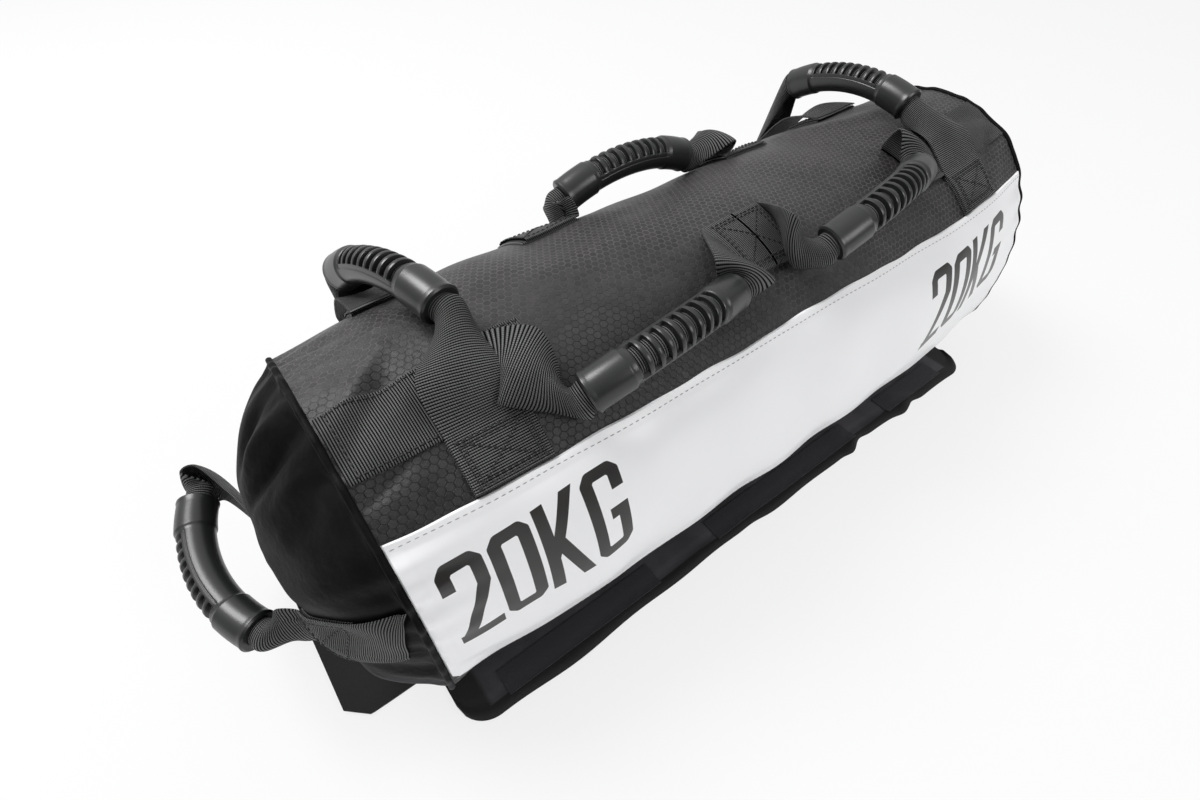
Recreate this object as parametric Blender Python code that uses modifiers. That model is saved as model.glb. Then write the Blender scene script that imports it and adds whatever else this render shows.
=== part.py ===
"""Sandbag trainer: a filled ripstop bag lying on its flat base, with seven webbing handles,
a white front band, and a zip behind a hook-and-loop flap. Metres, +Z up, +X along the bag.

The origin is the centre of the underside. Every layer that lies on the bag is placed by two
coordinates: x along the bag, and the arc measured round its section from the front's middle.
"""
import bpy
import bmesh
import math
from mathutils import Matrix, Vector

# Bag body
BAG_HALF_LENGTH = 0.247
BAG_HALF_WIDTH = 0.103
BAG_HALF_HEIGHT = 0.101
SETTLE_DEPTH = 0.005
SQUARENESS = 2.2
STRAIGHT_HALF = 0.140
END_TAPER_share = 0.13
END_TAPER_POWER = 1.6
TOP_TAPER_shares = {-1: 0.4, 1: -0.25}
UNDERSIDE_TAPER_share = 1.0
TAPER_LEVEL_share = 0.3
CAP_BULGE = 0.043
CAP_POWER = 3.4
CAP_RING_shares = (1.0, 0.94, 0.84, 0.68, 0.46, 0.22)

# Cloth and the gaps between layers
CLOTH = 0.0015
LAYER = 0.0011
GAP = 0.0005
SEAM_GAP = 0.0003
FOOT_GAP = 0.0007
PIPING_RADIUS = 0.0025
RING_STEPS = 40
BODY_STEPS = 6
BODY_LINE_POWER = 0.7
STEP_ARC = 0.009

# Base and closure flap
BASE_THICKNESS = 0.0015
BASE_HALF_WIDTH = 0.049
BASE_TAB = 0.058
BASE_TAB_HALF_WIDTH = 0.058
BASE_CORNER = 0.003
FLAP_ROOT = 0.0494
FLAP_THICKNESS = 0.0015
FLAP_INNER_WIDTH = 0.027
FLAP_OUTER_WIDTH = 0.028
FLAP_OVERHANG = 0.004
FLAP_CORNER = 0.016
LOOP_TAPE_WIDTH = 0.018
LOOP_TAPE_THICKNESS = 0.0008

# White band, hook tape and zip, as arcs from the front's middle
BAND_TOP = 0.0786
BAND_BOTTOM = -0.0397
HOOK_TOP = -0.0440
HOOK_BOTTOM = -0.0690
HOOK_shares = {"left": (-0.90, -0.42), "centre": (-0.20, 0.42), "right": (0.60, 0.90)}
ZIP_ARC = -0.0820
ZIP_SPLIT = 0.004
ZIP_TAPE_WIDTH = 0.0075
TOOTH_PITCH = 0.015
TOOTH_ROW_WIDTH = 0.0014
TOOTH_THICKNESS = 0.0013
TOOTH_ROOT_share = 0.55
ZIP_INSET = 0.111
ZIP_REACH = BAG_HALF_LENGTH - ZIP_INSET
SLIDER_LENGTH = 0.011
SLIDER_WIDTH = 0.0075
SLIDER_THICKNESS = 0.0018
SLIDER_shares = ((0, 0.72), (0.35, 0.86), (1, 1.0))
PULL_LENGTH = 0.020
PULL_WIDTH = 0.005
PULL_THICKNESS = 0.0010
PULL_HOLE = 0.0004
PULL_HEEL = 0.0008

# Webbing and handles
WEBBING = 0.040
WEBBING_THICKNESS = 0.0015
CROSS_STRAP_INSET = 0.063
CROSS_STRAP_X = BAG_HALF_LENGTH - CROSS_STRAP_INSET
CROSS_BOX = 0.029
BACK_STRAP_RUN = 0.120
LONG_STRAP_ARC = 0.129
BACK_LINE_ARC = 0.232
SEAM_INSET = 0.007
CENTRE_BOX_HALF = 0.021
LONG_FOOT_X = 0.144
BACK_FOOT_X = 0.062
BACK_BOX = 0.040
END_FOOT_Z = 0.085
END_FOOT_NEAR = 0.036
END_BOX = 0.032
GRIP_LENGTH = 0.098
GRIP_RADIUS = 0.0098
GRIP_COLLAR_RADIUS = 0.0106
GRIP_BORE_RADIUS = 0.0074
GRIP_ARCH = 0.011
GRIP_STATIONS = 9
GRIP_MOUTH_RUN = 0.007
LEG_STATIONS = 10
FOLDED_shares = {True: 0.60, False: 0.85}
STRAP_IN_GRIP_WIDTH = 0.0124
STRAP_IN_GRIP_THICKNESS = 0.0030

# How each grip lies, and where its webbing passes: shares of the half length, the quarter arc
# and the grip's diameter above the cloth
CROSS_HEADINGS = {-1: Vector((-0.20, 1, -0.30)), 1: Vector((0, 1, -0.17))}
CROSS_OUTWARD = Vector((0, 0.17, 1))
CROSS_GRIP_shares = {-1: (1.26, 1.02), 1: (1.26, 1.20)}
CROSS_NEAR_shares = (0.80, 0.60)
CROSS_FAR_shares = ((1.74, 1.00), (1.72, 0.66), (1.52, 0.50))
FRONT_HEADINGS = {"left": Vector((1, 0.08, 0.05)), "right": Vector((1, 0.14, 0.06))}
FRONT_OUTWARD = Vector((0, -0.60, 0.80))
FRONT_GRIP_shares = {"left": (-0.375, 0.615, 1.08), "right": (0.300, 0.660, 1.42)}
FRONT_NEAR_shares = {"left": (-0.640, 0.66, 0.80), "right": (-0.005, 0.68, 1.00)}
FRONT_FAR_shares = {"left": (-0.125, 0.68, 0.90), "right": (0.565, 0.765, 0.95)}
BACK_HEADING = Vector((1, 0, -0.02))
BACK_OUTWARD = Vector((0, -0.08, 1))
BACK_GRIP_shares = (-0.03, 1.38, 1.10)
BACK_NEAR_shares = (-0.262, 1.42, 0.60)
BACK_FAR_shares = ((0.27, 1.38, 0.90), (0.31, 1.42, 0.60))
END_HEADING_share = 0.05
END_GRIP_shares = (1.85, 0.25)
END_NEAR_shares = (0.55, -0.30)
END_FAR_shares = ((1.45, 0.86), (0.80, 0.84), (0.30, 0.55))

# Filler
FILLER_CLEARANCE = 0.0015
LINER_THICKNESS = 0.0008
SAND_CLEARANCE = 0.0012
NECK_RADIUS = 0.014
NECK_LENGTH = 0.022
NECK_SHOULDER = 0.030
NECK_MOUTH_X = 0.006
TIE_RADIUS = 0.0016
FILLER_RING = 16
FILLER_NECK_shares = ((0.62, 0.45), (0.90, 0.8), (1.0, 1.25))
FILLER_BODY_shares = (0.45, 0.65, 0.82, 0.97)
FILLER_END_shares = (0.90, 0.72, 0.45, 0.18)

FINISHES = {
    "ripstop": ((0.030, 0.028, 0.032), 0.55, 0.0),
    "matte_cloth": ((0.022, 0.021, 0.023), 0.85, 0.0),
    "white_band": ((0.86, 0.87, 0.90), 0.32, 0.0),
    "webbing": ((0.040, 0.043, 0.042), 0.75, 0.0),
    "rubber": ((0.034, 0.036, 0.038), 0.42, 0.0),
    "hook_tape": ((0.045, 0.037, 0.060), 0.95, 0.0),
    "zip_plastic": ((0.018, 0.018, 0.018), 0.40, 0.0),
    "zip_metal": ((0.55, 0.55, 0.56), 0.35, 1.0),
    "liner": ((0.60, 0.58, 0.52), 0.60, 0.0),
    "sand": ((0.55, 0.45, 0.31), 0.95, 0.0),
}


def clear_scene():
    for thing in list(bpy.data.objects):
        bpy.data.objects.remove(thing, do_unlink=True)


def make_finish(name):
    colour, roughness, metallic = FINISHES[name]
    material = bpy.data.materials.new(name)
    material.use_nodes = True
    shader = material.node_tree.nodes["Principled BSDF"]
    shader.inputs["Base Color"].default_value = (*colour, 1.0)
    shader.inputs["Roughness"].default_value = roughness
    shader.inputs["Metallic"].default_value = metallic
    return material


class Section:
    """The bag's outline in the Y-Z plane, read by its arc from the front's middle."""

    def __init__(self, turns=720):
        points = [self.corner(2 * math.pi * i / turns - math.pi / 2) for i in range(turns + 1)]
        self.points = points
        self.arcs = [0.0]
        for a, b in zip(points, points[1:]):
            self.arcs.append(self.arcs[-1] + math.dist(a, b))
        self.start = self.arcs[turns // 4]
        self.length = self.arcs[-1]
        self.quarter = self.arcs[turns // 2] - self.start

    def corner(self, angle):
        across, up = math.cos(angle), math.sin(angle)
        y = -BAG_HALF_WIDTH * math.copysign(abs(across) ** (2 / SQUARENESS), across)
        z = BAG_HALF_HEIGHT * (1 + math.copysign(abs(up) ** (2 / SQUARENESS), up))
        return y, max(z, SETTLE_DEPTH) - SETTLE_DEPTH

    def at(self, arc):
        target = (arc + self.start) % self.length
        low, high = 0, len(self.arcs) - 1
        while high - low > 1:
            middle = (low + high) // 2
            if self.arcs[middle] <= target:
                low = middle
            else:
                high = middle
        share = (target - self.arcs[low]) / (self.arcs[high] - self.arcs[low])
        a, b = self.points[low], self.points[high]
        return a[0] + (b[0] - a[0]) * share, a[1] + (b[1] - a[1]) * share

    def normal(self, arc):
        back, ahead = self.at(arc - STEP_ARC / 4), self.at(arc + STEP_ARC / 4)
        run = Vector((0, ahead[0] - back[0], ahead[1] - back[1])).normalized()
        return Vector((0, -run.z, run.y))


SECTION = Section()
SKIN_FLOOR = BASE_THICKNESS + SEAM_GAP
MIDDLE_Z = SKIN_FLOOR + BAG_HALF_HEIGHT - SETTLE_DEPTH


def skin(x, arc, lift=0.0):
    """A point on the bag, lift above its cloth."""
    y, z = SECTION.at(arc)
    past = min(1.0, max(0.0, abs(x) - STRAIGHT_HALF) / (BAG_HALF_LENGTH - STRAIGHT_HALF))
    taper = END_TAPER_share * past ** END_TAPER_POWER
    level = TAPER_LEVEL_share * 2 * BAG_HALF_HEIGHT
    pull = TOP_TAPER_shares[1 if x > 0 else -1] if z > level else UNDERSIDE_TAPER_share
    z = level + (z - level) * (1 - pull * taper)
    point = Vector((x, y * (1 - taper), z + SKIN_FLOOR))
    return point + SECTION.normal(arc) * lift


def cap_point(side, share, arc, lift=0.0):
    """A point on a rounded end; share is 1 at the rim and 0 at the middle."""
    rim = skin(side * BAG_HALF_LENGTH, arc, -GAP + lift * share)
    bulge = CAP_BULGE * (1 - share ** CAP_POWER)
    x = side * (BAG_HALF_LENGTH + SEAM_GAP + CLOTH + bulge + lift)
    return Vector((x, rim.y * share, MIDDLE_Z + (rim.z - MIDDLE_Z) * share))


def cap_over(side, y, z, lift=0.0):
    """The point of a rounded end that lies over a place in the Y-Z plane."""
    top = skin(side * BAG_HALF_LENGTH, SECTION.quarter)
    front = skin(side * BAG_HALF_LENGTH, 0.0)
    across = abs(y / front.y) ** SQUARENESS
    up = abs((z - MIDDLE_Z) / (top.z - MIDDLE_Z)) ** SQUARENESS
    share = (across + up) ** (1 / SQUARENESS)
    bulge = CAP_BULGE * (1 - share ** CAP_POWER)
    return Vector((side * (BAG_HALF_LENGTH + SEAM_GAP + CLOTH + bulge + lift), y, z))


def stations(low, high, step):
    count = max(2, math.ceil((high - low) / step) + 1)
    return [low + (high - low) * i / (count - 1) for i in range(count)]


def place(name, mesh, finish, collection):
    thing = bpy.data.objects.new(name, mesh)
    thing.data.materials.append(finish)
    collection.objects.link(thing)
    return thing


def mesh_from(name, build):
    mesh = bpy.data.meshes.new(name)
    build.to_mesh(mesh)
    build.free()
    mesh.shade_smooth()
    mesh.set_sharp_from_angle(angle=math.radians(40))
    return mesh


def grid_faces(build, rows, closed_ring):
    for one, two in zip(rows, rows[1:]):
        last = len(one) if closed_ring else len(one) - 1
        for i in range(last):
            j = (i + 1) % len(one)
            build.faces.new((one[i], two[i], two[j], one[j]))


def sheet(name, rings, thickness, finish, collection, inside, inwards=False, closed=False, lid=False):
    """A cloth piece: a grid of points, given its thickness away from (or towards) the inside."""
    build = bmesh.new()
    rows = [[build.verts.new(point) for point in ring] for ring in rings]
    grid_faces(build, rows, closed)
    if lid:
        build.faces.new(rows[-1])
    bmesh.ops.recalc_face_normals(build, faces=build.faces)
    build.faces.ensure_lookup_table()
    first = build.faces[0]
    if first.normal.dot(first.calc_center_median() - inside) < 0:
        bmesh.ops.reverse_faces(build, faces=build.faces)
    thing = place(name, mesh_from(name, build), finish, collection)
    wall = thing.modifiers.new("Wall", "SOLIDIFY")
    wall.thickness = thickness
    wall.offset = -1 if inwards else 1
    wall.use_even_offset = True
    return thing


def solid(name, rings, finish, collection):
    """A closed body lofted through its rings and capped at both ends."""
    build = bmesh.new()
    rows = [[build.verts.new(point) for point in ring] for ring in rings]
    grid_faces(build, rows, True)
    build.faces.new(rows[0])
    build.faces.new(rows[-1])
    bmesh.ops.recalc_face_normals(build, faces=build.faces)
    return place(name, mesh_from(name, build), finish, collection)


def body_lines():
    """The places along the bag where its faces meet, closer together towards the seams."""
    near = [BAG_HALF_LENGTH * (i / BODY_STEPS) ** BODY_LINE_POWER for i in range(BODY_STEPS + 1)]
    return [-x for x in reversed(near[1:])] + near


def on_bag(name, x_low, x_high, arc_low, arc_high, lift, thickness, finish, collection):
    between = [x for x in body_lines() if x_low + STEP_ARC / 2 < x < x_high - STEP_ARC / 2]
    rings = [[skin(x, arc, lift) for arc in stations(arc_low, arc_high, STEP_ARC)]
             for x in [x_low] + between + [x_high]]
    return sheet(name, rings, thickness, finish, collection, Vector((0, 0, MIDDLE_Z)))


def flat_plate(name, outline, low, thickness, finish, collection):
    """A flat piece from its outline in the X-Y plane, with its underside at low."""
    curve = bpy.data.curves.new(name, "CURVE")
    curve.dimensions = "2D"
    curve.fill_mode = "BOTH"
    curve.extrude = thickness / 2
    for points in outline:
        spline = curve.splines.new("POLY")
        spline.points.add(len(points) - 1)
        for place_of, (x, y) in zip(spline.points, points):
            place_of.co = (x, y, 0, 1)
        spline.use_cyclic_u = True
    drawn = bpy.data.objects.new(name + "_outline", curve)
    collection.objects.link(drawn)
    view = bpy.context.evaluated_depsgraph_get()
    build = bmesh.new()
    build.from_mesh(bpy.data.meshes.new_from_object(drawn.evaluated_get(view)))
    bpy.data.objects.remove(drawn, do_unlink=True)
    bmesh.ops.remove_doubles(build, verts=build.verts, dist=SEAM_GAP / 10)
    bmesh.ops.recalc_face_normals(build, faces=build.faces)
    bmesh.ops.translate(build, verts=build.verts, vec=(0, 0, low + thickness / 2))
    return place(name, mesh_from(name, build), finish, collection)


def rounded_outline(x_half, y_low, y_high, corners, radius, steps=4):
    """A rectangle, anticlockwise from its low corner; corners tells which of the four are round."""
    places = [(-x_half, y_low, 180), (x_half, y_low, 270), (x_half, y_high, 0), (-x_half, y_high, 90)]
    points = []
    for (x, y, start), is_round in zip(places, corners):
        if not is_round:
            points.append((x, y))
            continue
        cx = x - math.copysign(radius, x)
        cy = y + radius if y == y_low else y - radius
        for i in range(steps + 1):
            angle = math.radians(start + 90 * i / steps)
            points.append((cx + radius * math.cos(angle), cy + radius * math.sin(angle)))
    return points


def build_body(finishes, collection):
    low = ZIP_ARC + ZIP_SPLIT / 2
    high = ZIP_ARC - ZIP_SPLIT / 2 + SECTION.length
    arcs = [low + (high - low) * i / RING_STEPS for i in range(RING_STEPS + 1)]
    rings = [[skin(x, arc) for arc in arcs] for x in body_lines()]
    sheet("bag_body", rings, CLOTH, finishes["ripstop"], collection, Vector((0, 0, MIDDLE_Z)),
          inwards=True)


def build_end(side, word, finishes, collection):
    arcs = [SECTION.length * i / RING_STEPS for i in range(RING_STEPS)]
    rings = [[cap_point(side, share, arc) for arc in arcs] for share in CAP_RING_shares]
    collar = [point - Vector((side * CLOTH, 0, 0)) for point in rings[0]]
    rings.insert(0, collar)
    sheet("end_cap_" + word, rings, CLOTH, finishes["ripstop"], collection, Vector((0, 0, MIDDLE_Z)),
          inwards=True, closed=True, lid=True)
    curve = bpy.data.curves.new("end_piping_" + word, "CURVE")
    curve.dimensions = "3D"
    curve.bevel_depth = PIPING_RADIUS
    curve.bevel_resolution = 1
    spline = curve.splines.new("POLY")
    spline.points.add(len(arcs) - 1)
    for knot, arc in zip(spline.points, arcs):
        knot.co = (*skin(side * BAG_HALF_LENGTH, arc, PIPING_RADIUS + GAP), 1)
    spline.use_cyclic_u = True
    curve.materials.append(finishes["ripstop"])
    collection.objects.link(bpy.data.objects.new("end_piping_" + word, curve))


def build_front(finishes, collection):
    reach = BAG_HALF_LENGTH - SEAM_INSET + GAP
    on_bag("front_band", -reach, reach, BAND_BOTTOM, BAND_TOP, GAP, LAYER, finishes["white_band"],
           collection)
    for word, (low, high) in HOOK_shares.items():
        on_bag("hook_tape_" + word, low * BAG_HALF_LENGTH, high * BAG_HALF_LENGTH, HOOK_BOTTOM, HOOK_TOP,
               GAP, LAYER, finishes["hook_tape"], collection)


def build_zip(finishes, collection):
    reach = ZIP_REACH
    half = ZIP_SPLIT / 2
    tape = finishes["matte_cloth"]
    on_bag("zip_tape_upper", -reach, reach, ZIP_ARC + half, ZIP_ARC + half + ZIP_TAPE_WIDTH, GAP, LAYER,
           tape, collection)
    on_bag("zip_tape_lower", -reach, reach, ZIP_ARC - half - ZIP_TAPE_WIDTH, ZIP_ARC - half, GAP, LAYER,
           tape, collection)
    for word, sign in (("upper", 1), ("lower", -1)):
        edge = ZIP_ARC + sign * (half - GAP)
        rings = []
        count = int(2 * reach / TOOTH_PITCH) * 2
        for i in range(count + 1):
            x = -reach + 2 * reach * i / count
            high = TOOTH_THICKNESS * (1 if i % 2 else TOOTH_ROOT_share)
            inner = edge - sign * TOOTH_ROW_WIDTH * (1 if i % 2 else TOOTH_ROOT_share)
            rings.append([skin(x, edge, GAP), skin(x, inner, GAP), skin(x, inner, GAP + high),
                          skin(x, edge, GAP + high)])
        solid("zip_teeth_" + word, rings, finishes["zip_plastic"], collection)
    for word, sign in (("left", -1), ("right", 1)):
        start = sign * (reach + SEAM_GAP)
        ends = sorted((start, start + sign * ZIP_SPLIT))
        on_bag("zip_stop_" + word, *ends, ZIP_ARC - ZIP_SPLIT, ZIP_ARC + ZIP_SPLIT, GAP, LAYER,
               finishes["zip_metal"], collection)


def build_slider(finishes, collection):
    end = ZIP_REACH - SEAM_GAP
    rise = GAP + TOOTH_THICKNESS + SEAM_GAP
    start = end - SLIDER_LENGTH
    rings = []
    for share, width in SLIDER_shares:
        x, half = start + SLIDER_LENGTH * share, SLIDER_WIDTH * width / 2
        rings.append([skin(x, ZIP_ARC - half, rise), skin(x, ZIP_ARC + half, rise),
                      skin(x, ZIP_ARC + half, rise + SLIDER_THICKNESS),
                      skin(x, ZIP_ARC - half, rise + SLIDER_THICKNESS)])
    slider = solid("zip_slider", rings, finishes["zip_metal"], collection)
    hinge_x = start + SLIDER_LENGTH / 2
    lift = rise + SLIDER_THICKNESS + SEAM_GAP + math.hypot(PULL_HEEL, PULL_THICKNESS / 2)
    hinge = skin(hinge_x, ZIP_ARC, lift)
    run = (hinge - skin(hinge_x - PULL_LENGTH, ZIP_ARC, lift)).normalized()
    outline = [(PULL_HEEL, PULL_WIDTH / 2), (-PULL_LENGTH, PULL_WIDTH / 2),
               (-PULL_LENGTH, -PULL_WIDTH / 2), (PULL_HEEL, -PULL_WIDTH / 2)]
    hole = [(PULL_HOLE * math.cos(a), PULL_HOLE * math.sin(a))
            for a in [2 * math.pi * i / 8 for i in range(8)]]
    pull = flat_plate("zip_pull", [outline, hole], -PULL_THICKNESS / 2, PULL_THICKNESS,
                      finishes["zip_metal"], collection)
    normal = SECTION.normal(ZIP_ARC)
    across = normal.cross(run).normalized()
    turn = Matrix((run, across, run.cross(across))).transposed().to_4x4()
    pull.data.transform(Matrix.Translation(hinge) @ turn)
    return slider, pull, hinge


def build_base(finishes, collection):
    reach = BAG_HALF_LENGTH + BASE_TAB
    step = BAG_HALF_LENGTH + FLAP_OVERHANG + CLOTH
    quarter = [(step, BASE_HALF_WIDTH), (step, BASE_TAB_HALF_WIDTH),
               (reach - BASE_CORNER, BASE_TAB_HALF_WIDTH), (reach, BASE_TAB_HALF_WIDTH - BASE_CORNER)]
    half = quarter + [(x, -y) for x, y in reversed(quarter)]
    outline = half + [(-x, -y) for x, y in half]
    flat_plate("base_panel", [outline], 0.0, BASE_THICKNESS, finishes["matte_cloth"], collection)


def build_flap(finishes, collection):
    reach = BAG_HALF_LENGTH + FLAP_OVERHANG
    fold = FLAP_ROOT + SEAM_GAP + FLAP_INNER_WIDTH
    edge = fold + SEAM_GAP + FLAP_OUTER_WIDTH
    inner = flat_plate("closure_flap_root",
                       [rounded_outline(reach, -fold, -FLAP_ROOT - SEAM_GAP, (0, 0, 0, 0), FLAP_CORNER)],
                       SEAM_GAP, FLAP_THICKNESS, finishes["matte_cloth"], collection)
    outer = flat_plate("closure_flap",
                       [rounded_outline(reach, -edge, -fold - SEAM_GAP, (1, 1, 0, 0), FLAP_CORNER)],
                       SEAM_GAP, FLAP_THICKNESS, finishes["matte_cloth"], collection)
    tapes = []
    top = SEAM_GAP + FLAP_THICKNESS + SEAM_GAP
    low = -edge + (FLAP_OUTER_WIDTH - LOOP_TAPE_WIDTH) / 2
    for word, (left, right) in HOOK_shares.items():
        left, right = left * BAG_HALF_LENGTH, right * BAG_HALF_LENGTH
        points = [(left, low), (right, low), (right, low + LOOP_TAPE_WIDTH), (left, low + LOOP_TAPE_WIDTH)]
        tapes.append(flat_plate("loop_tape_" + word, [points], top, LOOP_TAPE_THICKNESS,
                                finishes["hook_tape"], collection))
    root_hinge = Vector((0, -FLAP_ROOT, SEAM_GAP + FLAP_THICKNESS / 2))
    fold_hinge = Vector((0, -fold - SEAM_GAP / 2, SEAM_GAP + FLAP_THICKNESS / 2))
    return inner, [outer] + tapes, root_hinge, fold_hinge


def build_straps(finishes, collection):
    """The webbing that is sewn flat on the bag, with the boxes that the handles leave from."""
    webbing = finishes["webbing"]
    half = WEBBING / 2
    for word, x in (("left", -CROSS_STRAP_X), ("right", CROSS_STRAP_X)):
        top = BAND_TOP + GAP
        on_bag("cross_strap_" + word + "_front", x - half, x + half, top, top + CROSS_BOX, GAP, LAYER,
               webbing, collection)
        start = 2 * SECTION.quarter - top - CROSS_BOX
        on_bag("cross_strap_" + word + "_back", x - half, x + half, start, start + BACK_STRAP_RUN, GAP,
               LAYER, webbing, collection)
    end = BAG_HALF_LENGTH - SEAM_INSET
    low, high = LONG_STRAP_ARC - half, LONG_STRAP_ARC + half
    runs = {"left": (-end, -LONG_FOOT_X), "centre": (-CENTRE_BOX_HALF, CENTRE_BOX_HALF),
            "right": (LONG_FOOT_X, end)}
    for word, (start, stop) in runs.items():
        on_bag("long_strap_" + word, start, stop, low, high, GAP, LAYER, webbing, collection)
    low, high = BACK_LINE_ARC - half, BACK_LINE_ARC + half
    for word, sign in (("left", -1), ("right", 1)):
        ends = sorted((sign * BACK_FOOT_X, sign * (BACK_FOOT_X + BACK_BOX)))
        on_bag("back_strap_" + word, *ends, low, high, GAP, LAYER, webbing, collection)


def build_end_feet(side, word, finishes, collection):
    """The webbing boxes sewn to a rounded end, which hold its handle."""
    for place_word, sign in (("front", -1), ("back", 1)):
        across = [sign * (END_FOOT_NEAR + END_BOX * i / 3) for i in range(4)]
        up = [END_FOOT_Z + WEBBING * (i / 4 - 0.5) for i in range(5)]
        rings = [[cap_over(side, y, z, 2 * GAP) for z in up] for y in across]
        sheet("end_foot_" + word + "_" + place_word, rings, LAYER, finishes["webbing"], collection,
              Vector((0, 0, MIDDLE_Z)))


def curve_through(points, count):
    """Points spread along a smooth curve through the given ones."""
    path = []
    padded = [points[0] * 2 - points[1]] + points + [points[-1] * 2 - points[-2]]
    spans = len(points) - 1
    for i in range(count + 1):
        place_on = spans * i / count
        k = min(int(place_on), spans - 1)
        t = place_on - k
        a, b, c, d = padded[k:k + 4]
        path.append(0.5 * ((2 * b) + (c - a) * t + (2 * a - 5 * b + 4 * c - d) * t * t
                           + (3 * b - a - 3 * c + d) * t ** 3))
    return path


def grip_line(middle, heading, outward):
    """The arched middle line of a grip, from one end to the other."""
    heading = heading.normalized()
    outward = (outward - heading * outward.dot(heading)).normalized()
    radius = (GRIP_LENGTH ** 2 / 4 + GRIP_ARCH ** 2) / (2 * GRIP_ARCH)
    half_angle = math.asin(GRIP_LENGTH / 2 / radius)
    line = []
    for i in range(GRIP_STATIONS):
        angle = half_angle * (2 * i / (GRIP_STATIONS - 1) - 1)
        line.append(middle + heading * radius * math.sin(angle) + outward * radius * (math.cos(angle) - 1))
    return line, outward


def build_grip(name, line, finishes, collection):
    curve = bpy.data.curves.new(name, "CURVE")
    curve.dimensions = "3D"
    curve.bevel_depth = GRIP_RADIUS
    curve.bevel_resolution = 3
    spline = curve.splines.new("POLY")
    spline.points.add(len(line) - 1)
    for i, point in enumerate(line):
        spline.points[i].co = (*point, 1)
        at_end = i in (0, len(line) - 1)
        spline.points[i].radius = GRIP_COLLAR_RADIUS / GRIP_RADIUS if at_end else 1.0
    drawn = bpy.data.objects.new(name + "_line", curve)
    collection.objects.link(drawn)
    view = bpy.context.evaluated_depsgraph_get()
    build = bmesh.new()
    build.from_mesh(bpy.data.meshes.new_from_object(drawn.evaluated_get(view)))
    bpy.data.objects.remove(drawn, do_unlink=True)
    bmesh.ops.remove_doubles(build, verts=build.verts, dist=SEAM_GAP / 10)
    bmesh.ops.recalc_face_normals(build, faces=build.faces)
    build.faces.ensure_lookup_table()
    first = build.faces[0]
    centre = min(line, key=lambda point: (point - first.calc_center_median()).length)
    if first.normal.dot(first.calc_center_median() - centre) < 0:
        bmesh.ops.reverse_faces(build, faces=build.faces)
    grip = place(name, mesh_from(name, build), finishes["rubber"], collection)
    wall = grip.modifiers.new("Wall", "SOLIDIFY")
    wall.thickness = GRIP_RADIUS - GRIP_BORE_RADIUS
    wall.offset = -1
    return grip


def build_loop(name, leg_a, line, leg_b, feet_across, grip_across, lies_flat, finishes, collection):
    """The webbing of a handle: flat at both feet, folded narrow through the grip.

    A strap that lies_flat keeps its face to the bag while it turns aside, so its feet_across are
    then the bag's own normals there; any other strap keeps its width along feet_across."""
    run_in = (line[1] - line[0]).normalized() * GRIP_MOUTH_RUN
    run_out = (line[-1] - line[-2]).normalized() * GRIP_MOUTH_RUN
    first = curve_through(leg_a + [line[0] - run_in], LEG_STATIONS) + [line[0]]
    last = [line[-1]] + curve_through([line[-1] + run_out] + leg_b, LEG_STATIONS)
    path = first[:-1] + line + last[1:]
    inner_first, inner_last = len(first) - 1, len(first) + len(line) - 2
    rings = []
    for i, point in enumerate(path):
        ahead = path[min(i + 1, len(path) - 1)] - path[max(i - 1, 0)]
        run = ahead.normalized()
        if i < inner_first:
            share = i / inner_first
        elif i > inner_last:
            share = (len(path) - 1 - i) / (len(path) - 1 - inner_last)
        else:
            share = 1.0
        fold = min(1.0, share / FOLDED_shares[lies_flat])
        fold = fold * fold * (3 - 2 * fold)
        foot = feet_across[0 if i < len(path) / 2 else 1].normalized()
        foot = run.cross(foot) if lies_flat else foot
        if foot.dot(grip_across) < 0:
            foot = -foot
        across = foot.lerp(grip_across, fold)
        across = (across - run * across.dot(run)).normalized()
        normal = run.cross(across)
        half_width = (WEBBING + (STRAP_IN_GRIP_WIDTH - WEBBING) * fold) / 2
        half_thick = (WEBBING_THICKNESS + (STRAP_IN_GRIP_THICKNESS - WEBBING_THICKNESS) * fold) / 2
        rings.append([point + across * half_width * a + normal * half_thick * b
                      for a, b in ((-1, -1), (1, -1), (1, 1), (-1, 1))])
    return solid(name, rings, finishes["webbing"], collection)


def over_bag(x_share, arc_share, lift_share):
    """A place above the bag: shares of the half length, the quarter arc and the grip's diameter."""
    return skin(x_share * BAG_HALF_LENGTH, arc_share * SECTION.quarter, lift_share * 2 * GRIP_RADIUS)


def foot_on_bag(x, arc):
    return skin(x, arc, GAP + LAYER + FOOT_GAP + WEBBING_THICKNESS / 2)


def handle(name, leg_a, leg_b, grip, feet_across, finishes, collection, lies_flat=False):
    middle, heading, outward = grip
    line, outward = grip_line(middle, heading, outward)
    grip_across = heading.normalized().cross(outward)
    loop = build_loop(name + "_strap", leg_a, line, leg_b, feet_across, grip_across, lies_flat,
                      finishes, collection)
    rubber = build_grip(name + "_grip", line, finishes, collection)
    hinge = (leg_a[0] + leg_b[-1]) / 2
    hang_on([loop, rubber], hinge, name + "_hinge", collection)


def hang_on(pieces, pivot, name, collection):
    """Parent pieces to an empty that stands on their joint's axis."""
    empty = bpy.data.objects.new(name, None)
    empty.location = pivot
    collection.objects.link(empty)
    for piece in pieces:
        piece.parent = empty
        piece.location = -pivot


def section_across(arc):
    return SECTION.normal(arc).cross(Vector((1, 0, 0)))


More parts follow.
